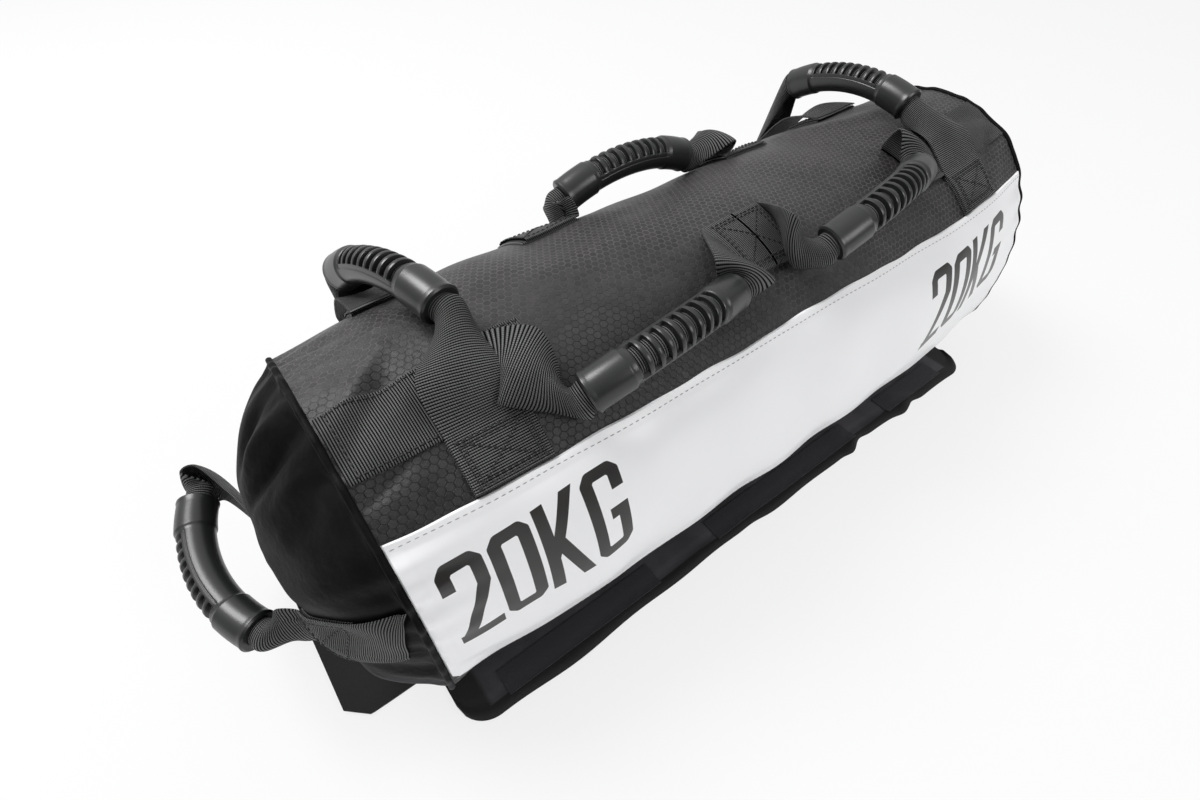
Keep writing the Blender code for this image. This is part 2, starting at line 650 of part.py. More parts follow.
def build_cross_handle(word, side, finishes, collection):
    x_share = side * CROSS_STRAP_X / BAG_HALF_LENGTH
    front_arc = BAND_TOP + GAP + CROSS_BOX + SEAM_GAP * 2
    back_arc = 2 * SECTION.quarter - front_arc
    x = side * CROSS_STRAP_X
    leg_a = [foot_on_bag(x, front_arc), over_bag(x_share, *CROSS_NEAR_shares)]
    leg_b = [over_bag(x_share, *shares) for shares in CROSS_FAR_shares] + [foot_on_bag(x, back_arc)]
    grip = (over_bag(x_share, *CROSS_GRIP_shares[side]), CROSS_HEADINGS[side], CROSS_OUTWARD)
    feet_across = [skin(x + WEBBING / 2, arc) - skin(x - WEBBING / 2, arc) for arc in (front_arc, back_arc)]
    handle(word + "_cross_handle", leg_a, leg_b, grip, feet_across, finishes, collection)


def build_front_handle(word, finishes, collection):
    side = -1 if word == "left" else 1
    feet = sorted((side * (CENTRE_BOX_HALF + 2 * GAP), side * (LONG_FOOT_X - 2 * GAP)))
    grip = (over_bag(*FRONT_GRIP_shares[word]), FRONT_HEADINGS[word], FRONT_OUTWARD)
    leg_a = [foot_on_bag(feet[0], LONG_STRAP_ARC), over_bag(*FRONT_NEAR_shares[word])]
    leg_b = [over_bag(*FRONT_FAR_shares[word]), foot_on_bag(feet[1], LONG_STRAP_ARC)]
    handle("front_" + word + "_handle", leg_a, leg_b, grip, [SECTION.normal(LONG_STRAP_ARC)] * 2,
           finishes, collection, lies_flat=True)


def build_back_handle(finishes, collection):
    foot = BACK_FOOT_X - SEAM_GAP * 2
    start, stop = foot_on_bag(-foot, BACK_LINE_ARC), foot_on_bag(foot, BACK_LINE_ARC)
    grip = (over_bag(*BACK_GRIP_shares), BACK_HEADING, BACK_OUTWARD)
    leg_a = [start, over_bag(*BACK_NEAR_shares)]
    leg_b = [over_bag(*shares) for shares in BACK_FAR_shares] + [stop]
    handle("back_handle", leg_a, leg_b, grip, [section_across(BACK_LINE_ARC)] * 2, finishes, collection)


def build_end_handle(side, word, finishes, collection):
    near, far = -END_FOOT_NEAR + SEAM_GAP * 2, END_FOOT_NEAR - SEAM_GAP * 2
    lift = 2 * GAP + LAYER + FOOT_GAP + WEBBING_THICKNESS / 2
    start = cap_over(side, near, END_FOOT_Z, lift)
    stop = cap_over(side, far, END_FOOT_Z, lift)
    reach = BAG_HALF_LENGTH + CAP_BULGE

    def off_end(out_share, y_share):
        return Vector((side * (reach + out_share * 2 * GRIP_RADIUS), y_share * BAG_HALF_WIDTH, END_FOOT_Z))

    grip = (off_end(*END_GRIP_shares), Vector((side * END_HEADING_share, 1, 0)), Vector((side, 0, 0)))
    leg_a = [start, off_end(*END_NEAR_shares)]
    leg_b = [off_end(*shares) for shares in END_FAR_shares] + [stop]
    handle(word + "_end_handle", leg_a, leg_b, grip, [Vector((0, 0, 1))] * 2, finishes, collection)


def filler_ring(x, shrink, share, count=FILLER_RING):
    """A ring inside the bag; past the seam it follows the rounded end."""
    side = math.copysign(1, x)
    ring = []
    for i in range(count):
        arc = SECTION.length * i / count
        at = skin(side * min(abs(x), BAG_HALF_LENGTH), arc, -CLOTH - shrink)
        ring.append(Vector((x, at.y * share, MIDDLE_Z + (at.z - MIDDLE_Z) * share)))
    return ring


def filler_rings(side, shrink, grow):
    """Rings of a filler bag, from its neck to its rounded end; grow is the neck's radius."""
    rings = []
    shoulder = NECK_MOUTH_X + NECK_LENGTH
    setback = 0.0 if grow else 3 * (LINER_THICKNESS + SAND_CLEARANCE)
    for x in ((NECK_MOUTH_X, shoulder) if grow else (shoulder + setback,)):
        radius = grow if grow else NECK_RADIUS - LINER_THICKNESS - SAND_CLEARANCE
        rings.append([Vector((side * x, radius * math.cos(a), MIDDLE_Z + radius * math.sin(a)))
                      for a in [2 * math.pi * i / FILLER_RING for i in range(FILLER_RING)]])
    rings = [align(ring) for ring in rings]
    for share, x_share in FILLER_NECK_shares:
        rings.append(filler_ring(side * (shoulder + setback + NECK_SHOULDER * x_share), shrink, share))
    for x_share in FILLER_BODY_shares:
        rings.append(filler_ring(side * BAG_HALF_LENGTH * x_share, shrink, 1.0))
    bulge = CAP_BULGE + CLOTH - 2 * shrink
    for share in FILLER_END_shares:
        x = BAG_HALF_LENGTH + bulge * (1 - share ** CAP_POWER) - GAP
        rings.append(filler_ring(side * x, shrink + GAP, share))
    return rings


def align(ring):
    """Start a ring at its front point and turn it the way the section runs."""
    start = min(range(len(ring)), key=lambda i: ring[i].y)
    turned = ring[start:] + ring[:start]
    if turned[1].z < turned[0].z:
        turned = [turned[0]] + turned[:0:-1]
    return turned


def build_filler(side, word, finishes, collection):
    outer = filler_rings(side, FILLER_CLEARANCE, NECK_RADIUS)
    sheet("filler_bag_" + word, outer, LINER_THICKNESS, finishes["liner"],
          collection, Vector((side * BAG_HALF_LENGTH / 2, 0, MIDDLE_Z)), inwards=True, closed=True, lid=True)
    inner = filler_rings(side, FILLER_CLEARANCE + LINER_THICKNESS + SAND_CLEARANCE, 0)
    solid("sand_" + word, inner, finishes["sand"], collection)
    bpy.ops.mesh.primitive_torus_add(
        major_radius=NECK_RADIUS + TIE_RADIUS + SEAM_GAP, minor_radius=TIE_RADIUS, major_segments=20,
        minor_segments=6, location=(side * (NECK_MOUTH_X + NECK_LENGTH / 2), 0, MIDDLE_Z),
        rotation=(0, math.pi / 2, 0))
    tie = bpy.context.active_object
    tie.name = "filler_tie_" + word
    tie.data.materials.append(finishes["zip_plastic"])
    for owner in list(tie.users_collection):
        owner.objects.unlink(tie)
    collection.objects.link(tie)


def main():
    clear_scene()
    collection = bpy.data.collections.new("sandbag_trainer")
    bpy.context.scene.collection.children.link(collection)
    finishes = {name: make_finish(name) for name in FINISHES}
    build_body(finishes, collection)
    build_front(finishes, collection)
    build_zip(finishes, collection)
    build_base(finishes, collection)
    build_straps(finishes, collection)
    for side, word in ((-1, "left"), (1, "right")):
        build_end(side, word, finishes, collection)
        build_end_feet(side, word, finishes, collection)
        build_cross_handle(word, side, finishes, collection)
        build_front_handle(word, finishes, collection)
        build_end_handle(side, word, finishes, collection)
        build_filler(side, word, finishes, collection)
    build_back_handle(finishes, collection)
    inner, outer, root_hinge, fold_hinge = build_flap(finishes, collection)
    hang_on([inner], root_hinge, "flap_root_hinge", collection)
    hang_on(outer, fold_hinge, "flap_fold_hinge", collection)
    slider, pull, hinge = build_slider(finishes, collection)
    hang_on([slider], hinge, "zip_slider_run", collection)
    hang_on([pull], hinge, "zip_pull_hinge", collection)


main()
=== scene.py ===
# %% [markdown]
# # Sandbag trainer
# A filled training bag lies on its flat base: a ripstop tube with two rounded ends, a white band
# along its front, flat webbing sewn over it, seven webbing loops with moulded rubber grips, a zip
# low at the front and a cloth flap that folds up over the zip. All sizes are in metres, +Z is up,
# +X runs along the bag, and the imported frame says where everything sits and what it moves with.

# %% Frame
import math

import bpy
import numpy as np
from mathutils import Matrix, Vector


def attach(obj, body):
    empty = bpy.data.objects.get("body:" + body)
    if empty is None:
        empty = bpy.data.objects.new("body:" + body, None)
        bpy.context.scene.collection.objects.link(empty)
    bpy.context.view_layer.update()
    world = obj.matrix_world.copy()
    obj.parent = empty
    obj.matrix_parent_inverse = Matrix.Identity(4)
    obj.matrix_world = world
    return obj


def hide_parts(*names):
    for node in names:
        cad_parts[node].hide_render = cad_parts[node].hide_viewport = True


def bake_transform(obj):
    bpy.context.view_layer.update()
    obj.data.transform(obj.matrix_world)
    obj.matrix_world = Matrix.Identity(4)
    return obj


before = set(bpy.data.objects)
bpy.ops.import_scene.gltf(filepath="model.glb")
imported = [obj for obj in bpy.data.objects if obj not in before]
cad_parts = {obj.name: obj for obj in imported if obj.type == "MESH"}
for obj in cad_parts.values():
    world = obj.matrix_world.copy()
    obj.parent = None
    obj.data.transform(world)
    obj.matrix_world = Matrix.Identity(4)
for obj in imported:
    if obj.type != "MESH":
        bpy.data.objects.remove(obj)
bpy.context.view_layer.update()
rng = np.random.default_rng(7)
SIDES = (("left", -1), ("right", 1))

# %% [markdown]
# ## Camera
# The picture was taken from high over the bag's left front with a wide lens. The angles were
# fitted to the corners of the bag, the band and the grips. The camera is placed first, so that
# every later piece can be judged in the same view.

# %% Camera
FOCAL_IN_PIXELS, PICTURE_WIDTH, SENSOR_WIDTH, NEAREST_SEEN = 615.9, 1200, 36, 0.01
CAMERA_TURN, CAMERA_RISE, CAMERA_ROLL = (math.radians(a) for a in (-37.554, 48.386, 0.554))
CAMERA_DISTANCE, CAMERA_TARGET = 0.4615, Vector((-0.0629, 0.0240, 0.0495))


def new_object(name, data):
    thing = bpy.data.objects.new(name, data)
    bpy.context.scene.collection.objects.link(thing)
    return thing


def place_camera():
    back = Vector((math.sin(CAMERA_TURN) * math.cos(CAMERA_RISE),
                   -math.cos(CAMERA_TURN) * math.cos(CAMERA_RISE), math.sin(CAMERA_RISE)))
    level = Vector((0, 0, 1)).cross(back).normalized()
    upright = back.cross(level)
    right = math.cos(CAMERA_ROLL) * level + math.sin(CAMERA_ROLL) * upright
    up = math.cos(CAMERA_ROLL) * upright - math.sin(CAMERA_ROLL) * level
    matrix = Matrix((right, up, back)).transposed().to_4x4()
    matrix.translation = CAMERA_TARGET + back * CAMERA_DISTANCE
    data = bpy.data.cameras.new("camera")
    data.sensor_width, data.clip_start = SENSOR_WIDTH, NEAREST_SEEN
    data.lens = SENSOR_WIDTH * FOCAL_IN_PIXELS / PICTURE_WIDTH
    camera = new_object("camera", data)
    camera.matrix_world = matrix
    bpy.context.scene.camera = camera
    print("lens", round(data.lens, 2), "mm")


place_camera()

# %% [markdown]
# ## Node helpers
# The world, every finish and the zip's teeth are built of nodes, and each node is added, set and
# linked in the same way, so one function does it for all of them. A Wire is a node's output that
# does sums: a sign between two wires adds a Math node, and a mask then reads like its formula.

# %% Wires and nodes
class Wire:
    """A node's output; a sign between it and a number or another wire adds a Math node."""

    def __init__(self, node, key=0):
        self.tree, self.socket = node.id_data, node.outputs[key]

    def __add__(self, other):
        return maths("ADD", self, other)

    def __sub__(self, other):
        return maths("SUBTRACT", self, other)

    def __rsub__(self, other):
        return maths("SUBTRACT", other, self)

    def __mul__(self, other):
        return maths("MULTIPLY", self, other)

    def __truediv__(self, other):
        return maths("DIVIDE", self, other)

    def __rtruediv__(self, other):
        return maths("DIVIDE", other, self)


def fill(tree, socket, value):
    if isinstance(value, Wire):
        tree.links.new(value.socket, socket)
    else:
        socket.default_value = value


def add(tree, kind, inputs=None, **settings):
    """Adds a node, sets its properties, and fills its inputs by name or number, but for None."""
    node = tree.nodes.new(kind)
    for label, value in settings.items():
        setattr(node, label, value)
    for key, value in (inputs or {}).items():
        if value is not None:
            fill(tree, node.inputs[key], value)
    return node


def tree_of(values):
    return next(value.tree for value in values if isinstance(value, Wire))


def maths(operation, *values):
    node = add(tree_of(values), "ShaderNodeMath", dict(enumerate(values)), operation=operation)
    return Wire(node)


def vectors(operation, *values, scale=None):
    """Vector maths; a length, a distance or a dot product comes out as a number."""
    node = add(tree_of(values), "ShaderNodeVectorMath", {**dict(enumerate(values)), "Scale": scale},
               operation=operation)
    return Wire(node, "Value" if operation in ("LENGTH", "DOT_PRODUCT", "DISTANCE") else "Vector")


def ramp(value, low, high, to_low=0.0, to_high=1.0, kind="SMOOTHSTEP"):
    return Wire(add(value.tree, "ShaderNodeMapRange", {
        "Value": value, "From Min": low, "From Max": high, "To Min": to_low, "To Max": to_high},
        interpolation_type=kind))


def noise(place, scale, detail=2.0, roughness=0.5):
    return Wire(add(place.tree, "ShaderNodeTexNoise", {
        "Vector": place, "Scale": scale, "Detail": detail, "Roughness": roughness}), "Fac")


def parts(place):
    node = add(place.tree, "ShaderNodeSeparateXYZ", {0: place})
    return [Wire(node, axis) for axis in "XYZ"]


def mix(kind, factor, one, two):
    node = add(factor.tree, "ShaderNodeMix", data_type=kind)
    ends = [i for i, socket in enumerate(node.inputs)
            if socket.type == kind and socket.name in "AB"]
    for key, value in zip(["Factor"] + ends, (factor, one, two)):
        fill(factor.tree, node.inputs[key], value)
    return Wire(node, next(i for i, socket in enumerate(node.outputs) if socket.type == kind))


def mix_colours(factor, *colours):
    return mix("RGBA", factor, *((*c, 1) if isinstance(c, tuple) else c for c in colours))


# %% A finish
class Finish:
    """A material and its one Principled shader."""

    def __init__(self, name, colour, roughness, **sockets):
        self.material = bpy.data.materials.new(name)
        self.material.use_nodes = True
        self.tree = self.material.node_tree
        self.shader = self.tree.nodes["Principled BSDF"]
        self.feed(Base_Color=(*colour, 1), Roughness=roughness, **sockets)

    def feed(self, **sockets):
        for label, value in sockets.items():
            fill(self.tree, self.shader.inputs[label.replace("_", " ")], value)

    def uv(self):
        return Wire(add(self.tree, "ShaderNodeUVMap", uv_map="UVMap"), "UV")

    def place(self):
        return Wire(add(self.tree, "ShaderNodeTexCoord"), "Object")

    def bump(self, height, distance, strength=1.0, over=None):
        values = {"Height": height, "Strength": strength, "Distance": distance, "Normal": over}
        normal = Wire(add(self.tree, "ShaderNodeBump", values), "Normal")
        self.feed(Normal=normal)
        return normal


print("helpers ready")

# %% [markdown]
# ## Light and floor
# Product pictures like this one use big soft lamps all round and a white table. A pale world gives
# light from every side, a large lamp behind and above draws soft shadows forward, and a weaker one
# at the front right brings out the band and the folds. The floor glows a little for the camera
# only, so that it reads as white and still takes the bag's shadow.

# %% Light and floor
WORLD_LOW, WORLD_HIGH, WORLD_SEEN, WORLD_AXIS = 0.07, 0.92, 0.97, (0.10, 0.46, 0.88)
WORLD_FROM, WORLD_TO = -0.25, 0.95
FLOOR_SIZE, FLOOR_GLOW, FLOOR_WHITE = 14.0, 0.82, 0.935
WHITE_LIGHT, LAMP_TARGET = (1, 1, 1, 1), Vector((0, 0, 0.1))
LAMPS = {"back_softbox": ((-0.7, 0.9, 1.7), 0.9, 30), "front_softbox": ((0.7, -1.9, 1.3), 1.0, 15)}


def add_lamp(name, place, size, power):
    data = bpy.data.lights.new(name, "AREA")
    data.shape, data.size, data.energy = "DISK", size, power
    lamp = new_object(name, data)
    lamp.location = place
    lamp.rotation_euler = (LAMP_TARGET - Vector(place)).to_track_quat("-Z", "Y").to_euler()


def seen_directly(tree):
    """1 where the camera, a reflection or a view through glass sees the surface, else 0."""
    path = add(tree, "ShaderNodeLightPath")
    camera, glossy, through = (Wire(path, "Is %s Ray" % kind)
                               for kind in ("Camera", "Glossy", "Transmission"))
    return maths("MAXIMUM", maths("MAXIMUM", camera, glossy), through)


def light_world():
    """White to the camera; for light and reflections it is brightest above and behind the bag."""
    world = bpy.data.worlds.new("studio")
    bpy.context.scene.world = world
    world.use_nodes = True
    tree, background = world.node_tree, world.node_tree.nodes["Background"]
    height = vectors("DOT_PRODUCT", Wire(add(tree, "ShaderNodeTexCoord"), "Generated"), WORLD_AXIS)
    strength = ramp(height, WORLD_FROM, WORLD_TO, WORLD_LOW, WORLD_HIGH, "LINEAR")
    camera_ray = Wire(add(tree, "ShaderNodeLightPath"), "Is Camera Ray")
    seen = ramp(camera_ray, 0.0, 1.0, strength, WORLD_SEEN, "LINEAR")
    fill(tree, background.inputs["Strength"], seen)
    fill(tree, background.inputs["Color"], WHITE_LIGHT)


def lay_floor():
    half = FLOOR_SIZE / 2
    mesh = bpy.data.meshes.new("floor")
    mesh.from_pydata([(-half, -half, 0), (half, -half, 0), (half, half, 0), (-half, half, 0)], [],
                     [(0, 1, 2, 3)])
    table = Finish("table", (0.92, 0.92, 0.925), 0.9, Specular_IOR_Level=0.1)
    glow = add(table.tree, "ShaderNodeEmission", {"Color": WHITE_LIGHT, "Strength": FLOOR_WHITE})
    both = add(table.tree, "ShaderNodeMixShader", {0: seen_directly(table.tree) * FLOOR_GLOW,
                                                   1: Wire(table.shader), 2: Wire(glow)})
    fill(table.tree, table.tree.nodes["Material Output"].inputs["Surface"], Wire(both))
    mesh.materials.append(table.material)
    new_object("floor", mesh)


bpy.context.scene.view_settings.view_transform = "Standard"
light_world()
lay_floor()
for name, lamp in LAMPS.items():
    add_lamp(name, *lamp)
print("lamps:", list(LAMPS))

# %% [markdown]
# ## The bag's form
# The tube's outline is a squared ellipse that has settled on its underside. A place on the cloth is
# told by two numbers: x along the bag, and the arc measured round the outline from the middle of
# the front, up over the top. Everything that is sewn on uses the same two numbers, so layers can
# never drift apart. The tube narrows towards its end seams.

# %% Section
HALF_LENGTH, HALF_WIDTH, HALF_HEIGHT = 0.247, 0.103, 0.101
SETTLE_DEPTH, SQUARENESS, SKIN_FLOOR = 0.005, 2.2, 0.0018
STRAIGHT_HALF, END_TAPER, END_TAPER_POWER = 0.140, 0.13, 1.6
TAPER_LEVEL, TOP_PULL = 0.3 * 2 * HALF_HEIGHT, (-0.25, 0.4)
MIDDLE_Z = SKIN_FLOOR + HALF_HEIGHT - SETTLE_DEPTH


def outline_table(turns=1440):
    angle = np.linspace(-math.pi / 2, 1.5 * math.pi, turns + 1)
    across, up = np.cos(angle), np.sin(angle)
    y = -HALF_WIDTH * np.sign(across) * np.abs(across) ** (2 / SQUARENESS)
    z = HALF_HEIGHT * (1 + np.sign(up) * np.abs(up) ** (2 / SQUARENESS))
    z = np.maximum(z, SETTLE_DEPTH) - SETTLE_DEPTH
    arcs = np.concatenate([[0], np.cumsum(np.hypot(np.diff(y), np.diff(z)))])
    return y, z, arcs, arcs[turns // 4], arcs[turns // 2] - arcs[turns // 4]


OUTLINE_Y, OUTLINE_Z, OUTLINE_ARC, FRONT_START, QUARTER = outline_table()
ROUND = OUTLINE_ARC[-1]
print("round the bag", round(ROUND, 4), "quarter", round(QUARTER, 4))


def outline(arc):
    at = np.mod(np.asarray(arc, float) + FRONT_START, ROUND)
    return np.interp(at, OUTLINE_ARC, OUTLINE_Y), np.interp(at, OUTLINE_ARC, OUTLINE_Z)


def outline_normal(arc, step=0.00225):
    arc = np.asarray(arc, float)
    (y0, z0), (y1, z1) = outline(arc - step), outline(arc + step)
    dy, dz = y1 - y0, z1 - z0
    size = np.hypot(dy, dz)
    return np.stack([np.zeros_like(dy), -dz / size, dy / size], -1)


def unit(vector):
    vector = np.asarray(vector, float)
    return vector / np.linalg.norm(vector, axis=-1, keepdims=True)


def smooth(low, high, value):
    share = np.clip((np.asarray(value, float) - low) / (high - low), 0, 1)
    return share * share * (3 - 2 * share)


# %% [markdown]
# ## Folds
# Sand makes the cloth lumpy, and the gathered end seams pull short puckers into it. Sums of a few
# seeded waves give the lumps; the puckers are waves round the bag that die away from the seam; and
# single creases are drawn as valleys along short lines. One function holds it all, so the band and
# the webbing that lie on the cloth rise and sink with it.

# %% Relief
LUMP_HEIGHT, PUCKER_HEIGHT, PUCKER_REACH, RIGHT_PUCKER_SHARE = 0.0014, 0.0010, 0.024, 0.55
ZIP_ARC, ZIP_CALM_END, CALM_HEIGHT = -0.0820, (0.142, 0.160), 0.012
LUMPS = [(rng.uniform(4, 15) * rng.choice((-1, 1)), int(rng.integers(2, 7)), rng.uniform(0, 6.3),
          rng.uniform(0.5, 1.0)) for _ in range(9)]
PUCKERS = [(int(rng.integers(16, 42)), rng.uniform(0, 6.3), rng.uniform(0.4, 1.0))
           for _ in range(7)]
CREASES = [  # x, arc, to x, arc, width, height
    (-0.243, 0.120, -0.212, 0.150, 0.0060, -0.0034), (-0.243, 0.136, -0.205, 0.172, 0.005, 0.0022),
    (-0.244, 0.098, -0.221, 0.108, 0.0045, -0.0022), (-0.243, 0.215, -0.210, 0.200, 0.006, -0.0028),
    (-0.190, 0.190, -0.060, 0.165, 0.0140, 0.0016), (-0.150, 0.175, 0.020, 0.205, 0.0110, -0.0014),
    (0.070, 0.150, 0.200, 0.100, 0.0120, -0.0015), (0.200, 0.085, 0.243, 0.120, 0.0060, -0.0026),
    (0.060, 0.085, 0.170, 0.105, 0.0110, 0.0016), (0.205, 0.150, 0.244, 0.128, 0.0070, -0.0026),
    (-0.060, 0.100, 0.060, 0.092, 0.0130, -0.0015), (0.120, 0.210, 0.240, 0.170, 0.0100, 0.0020),
]
BULGES = [  # x, arc, half width along x, half width round the bag, height
    (-0.252, -0.050, 0.026, 0.030, 0.0085), (0.252, -0.050, 0.026, 0.030, 0.0055),
    (-0.093, 0.094, 0.060, 0.024, -0.0020), (-0.007, 0.226, 0.062, 0.034, -0.0022),
]


def crease(x, arc, x0, arc0, x1, arc1, width, height):
    run_x, run_a = x1 - x0, arc1 - arc0
    share = np.clip(((x - x0) * run_x + (arc - arc0) * run_a) / (run_x ** 2 + run_a ** 2), 0, 1)
    away = np.hypot(x - x0 - share * run_x, arc - arc0 - share * run_a)
    swell = 0.45 + 0.55 * np.sin(math.pi * (0.1 + 0.8 * share))
    return height * np.exp(-(away / width) ** 2) * swell


def relief(x, arc):
    x, arc = np.broadcast_arrays(np.asarray(x, float), np.asarray(arc, float))
    height = np.zeros(x.shape)
    for wave_x, turns, phase, size in LUMPS:
        round_it = turns * 2 * math.pi * arc / ROUND
        height += size * np.sin(wave_x * 2 * math.pi * x + round_it + phase)
    height *= LUMP_HEIGHT / 3
    pucker = np.zeros(x.shape)
    for turns, phase, size in PUCKERS:
        pucker += size * np.sin(turns * 2 * math.pi * arc / ROUND + phase + np.sign(x))
    side_share = np.where(x > 0, RIGHT_PUCKER_SHARE, 1.0)
    fade = np.exp(-((HALF_LENGTH - np.abs(x)) / PUCKER_REACH) ** 1.4)
    height += pucker / 2.4 * PUCKER_HEIGHT * side_share * fade
    wrapped = np.mod(arc + 0.1, ROUND) - 0.1
    for line in CREASES:
        height += crease(x, wrapped, *line)
    for at_x, at_arc, wide, tall, lift in BULGES:
        height += lift * np.exp(-((x - at_x) / wide) ** 2 - ((wrapped - at_arc) / tall) ** 2)
    from_zip = np.minimum(np.abs(arc - ZIP_ARC), np.abs(arc - ZIP_ARC - ROUND))
    from_zip = from_zip + 0.02 * smooth(*ZIP_CALM_END, np.abs(x))
    return height * smooth(0.0, CALM_HEIGHT, outline(arc)[1]) * smooth(0.004, 0.016, from_zip)


def skin(x, arc, lift=0.0):
    """Points on the bag's cloth, lift above it; x, arc and lift may be arrays."""
    x, arc, lift = np.broadcast_arrays(*(np.asarray(v, float) for v in (x, arc, lift)))
    y, z = outline(arc)
    past = np.clip((np.abs(x) - STRAIGHT_HALF) / (HALF_LENGTH - STRAIGHT_HALF), 0, 1)
    taper = END_TAPER * past ** END_TAPER_POWER
    pull = np.where(z > TAPER_LEVEL, np.where(x > 0, *TOP_PULL), 1.0)
    z = TAPER_LEVEL + (z - TAPER_LEVEL) * (1 - pull * taper)
    base = np.stack([x, y * (1 - taper), z + SKIN_FLOOR], -1)
    return base + outline_normal(arc) * lift[..., None]


def cloth(x, arc, lift=0.0):
    """Points on the folded cloth."""
    return skin(x, arc, np.asarray(lift, float) + relief(x, arc))


# %% [markdown]
# ## Mesh helpers
# Cloth, webbing and rubber are all grids: rows of points that faces join up. A piece gets an outer
# grid and an inner one with a rim between them, so it is a closed body with a real thickness. The
# UV map is in metres along the cloth, and so every weave keeps its true size on every piece.

# %% Mesh helpers
def grid_corners(rows, columns, wrap):
    """The corners of a grid's faces, and the row and column in the UV grid of each corner."""
    i = np.arange(rows - 1)[:, None]
    j = np.arange(columns if wrap else columns - 1)[None, :]
    k = (j + 1) % columns
    corners = [i * columns + j, i * columns + k, (i + 1) * columns + k, (i + 1) * columns + j]
    places = [(i, j), (i, j + 1), (i + 1, j + 1), (i + 1, j)]
    faces = np.stack(corners, -1)
    uv_at = np.stack([np.stack(np.broadcast_arrays(*place), -1) for place in places], -2)
    return faces.reshape(-1, 4), uv_at.reshape(-1, 4, 2)


def mesh_object(name, points, faces, uvs, materials, sharp=40):
    mesh = bpy.data.meshes.new(name)
    mesh.from_pydata(points.tolist(), [], [list(f) for f in faces])
    layer = mesh.uv_layers.new(name="UVMap")
    layer.data.foreach_set("uv", np.concatenate([np.asarray(u, float).reshape(-1) for u in uvs]))
    for material in materials:
        mesh.materials.append(material)
    mesh.validate()
    mesh.shade_smooth()
    mesh.set_sharp_from_angle(angle=math.radians(sharp))
    if signed_volume(mesh) < 0:
        mesh.flip_normals()
    return new_object(name, mesh)


def signed_volume(mesh):
    mesh.calc_loop_triangles()
    points = np.array([v.co for v in mesh.vertices])
    tris = np.array([t.vertices for t in mesh.loop_triangles])
    a, b, c = points[tris[:, 0]], points[tris[:, 1]], points[tris[:, 2]]
    return float(np.einsum("ij,ij->i", a, np.cross(b, c)).sum() / 6)


def shell(name, outer, inner, uv, materials, wrap=False, sharp=40):
    """A closed body from an outer grid, an inner grid and the rim between them."""
    rows, columns = outer.shape[:2]
    count = rows * columns
    points = np.concatenate([outer.reshape(-1, 3), inner.reshape(-1, 3)])
    faces, uv_at = grid_corners(rows, columns, wrap)
    face_uv = uv[uv_at[..., 0], uv_at[..., 1]]
    all_faces = [faces, faces[:, ::-1] + count]
    all_uv = [face_uv, face_uv[:, ::-1]]

    def rim(path, uv_path):
        a, b, uv_a, uv_b = path[:-1], path[1:], uv_path[:-1], uv_path[1:]
        all_faces.append(np.stack([b, a, a + count, b + count], -1))
        all_uv.append(np.stack([uv_b, uv_a, uv_a, uv_b], -2))

    ids = np.arange(count).reshape(rows, columns)
    ring = np.concatenate([ids, ids[:, :1]], 1) if wrap else ids
    span = uv[:, : ring.shape[1]]
    rim(ring[0], span[0])
    rim(ring[-1][::-1], span[-1][::-1])
    if not wrap:
        rim(ids[::-1, 0], uv[::-1, 0])
        rim(ids[:, -1], uv[:, columns - 1])
    return mesh_object(name, points, np.concatenate(all_faces), all_uv, materials, sharp=sharp)


def metres_uv(u, v):
    return np.stack(np.meshgrid(u, v, indexing="ij"), -1)


def settle(thing, body, slot, *nodes):
    """Says what a piece moves with and which nodes it stands for; slot is not used."""
    if nodes:
        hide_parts(*nodes)
    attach(thing, body)
    print(thing.name, len(thing.data.polygons), "faces")


def colour_faces(thing, second):
    """Gives the marked faces, counted from the first, the second finish."""
    indices = np.zeros(len(thing.data.polygons), np.int32)
    indices[: len(second)] = second
    thing.data.polygons.foreach_set("material_index", indices)

# %% [markdown]
# ## Node groups
# Three weaves come back on many pieces: the hexagon grid of the ripstop, the fine crossing threads
# of plain cloth, and the ribs of heavy webbing. Two more shapes draw the marking's strokes. Each is
# a node group that reads a place in metres and gives back masks and heights only, and every finish
# then mixes them its own way.

# %% Node groups
HEXAGON = (0.5, 0.8660254, 0.0)


def new_group(build, **inputs):
    """A node group: build gets its inputs as wires, and gives back its outputs by name."""
    group = bpy.data.node_groups.new(build.__name__, "ShaderNodeTree")
    for label, value in inputs.items():
        kind = "NodeSocketVector" if value is None else "NodeSocketFloat"
        socket = group.interface.new_socket(label, in_out="INPUT", socket_type=kind)
        if value is not None:
            socket.default_value = value
    entry = group.nodes.new("NodeGroupInput")
    results = build(*(Wire(entry, label) for label in inputs))
    for label in results:
        group.interface.new_socket(label, in_out="OUTPUT", socket_type="NodeSocketFloat")
    add(group, "NodeGroupOutput", results)
    return group


def use_group(group, **values):
    node = add(tree_of(values.values()), "ShaderNodeGroup", values, node_tree=group)
    return {socket.name: Wire(node, socket.name) for socket in node.outputs}


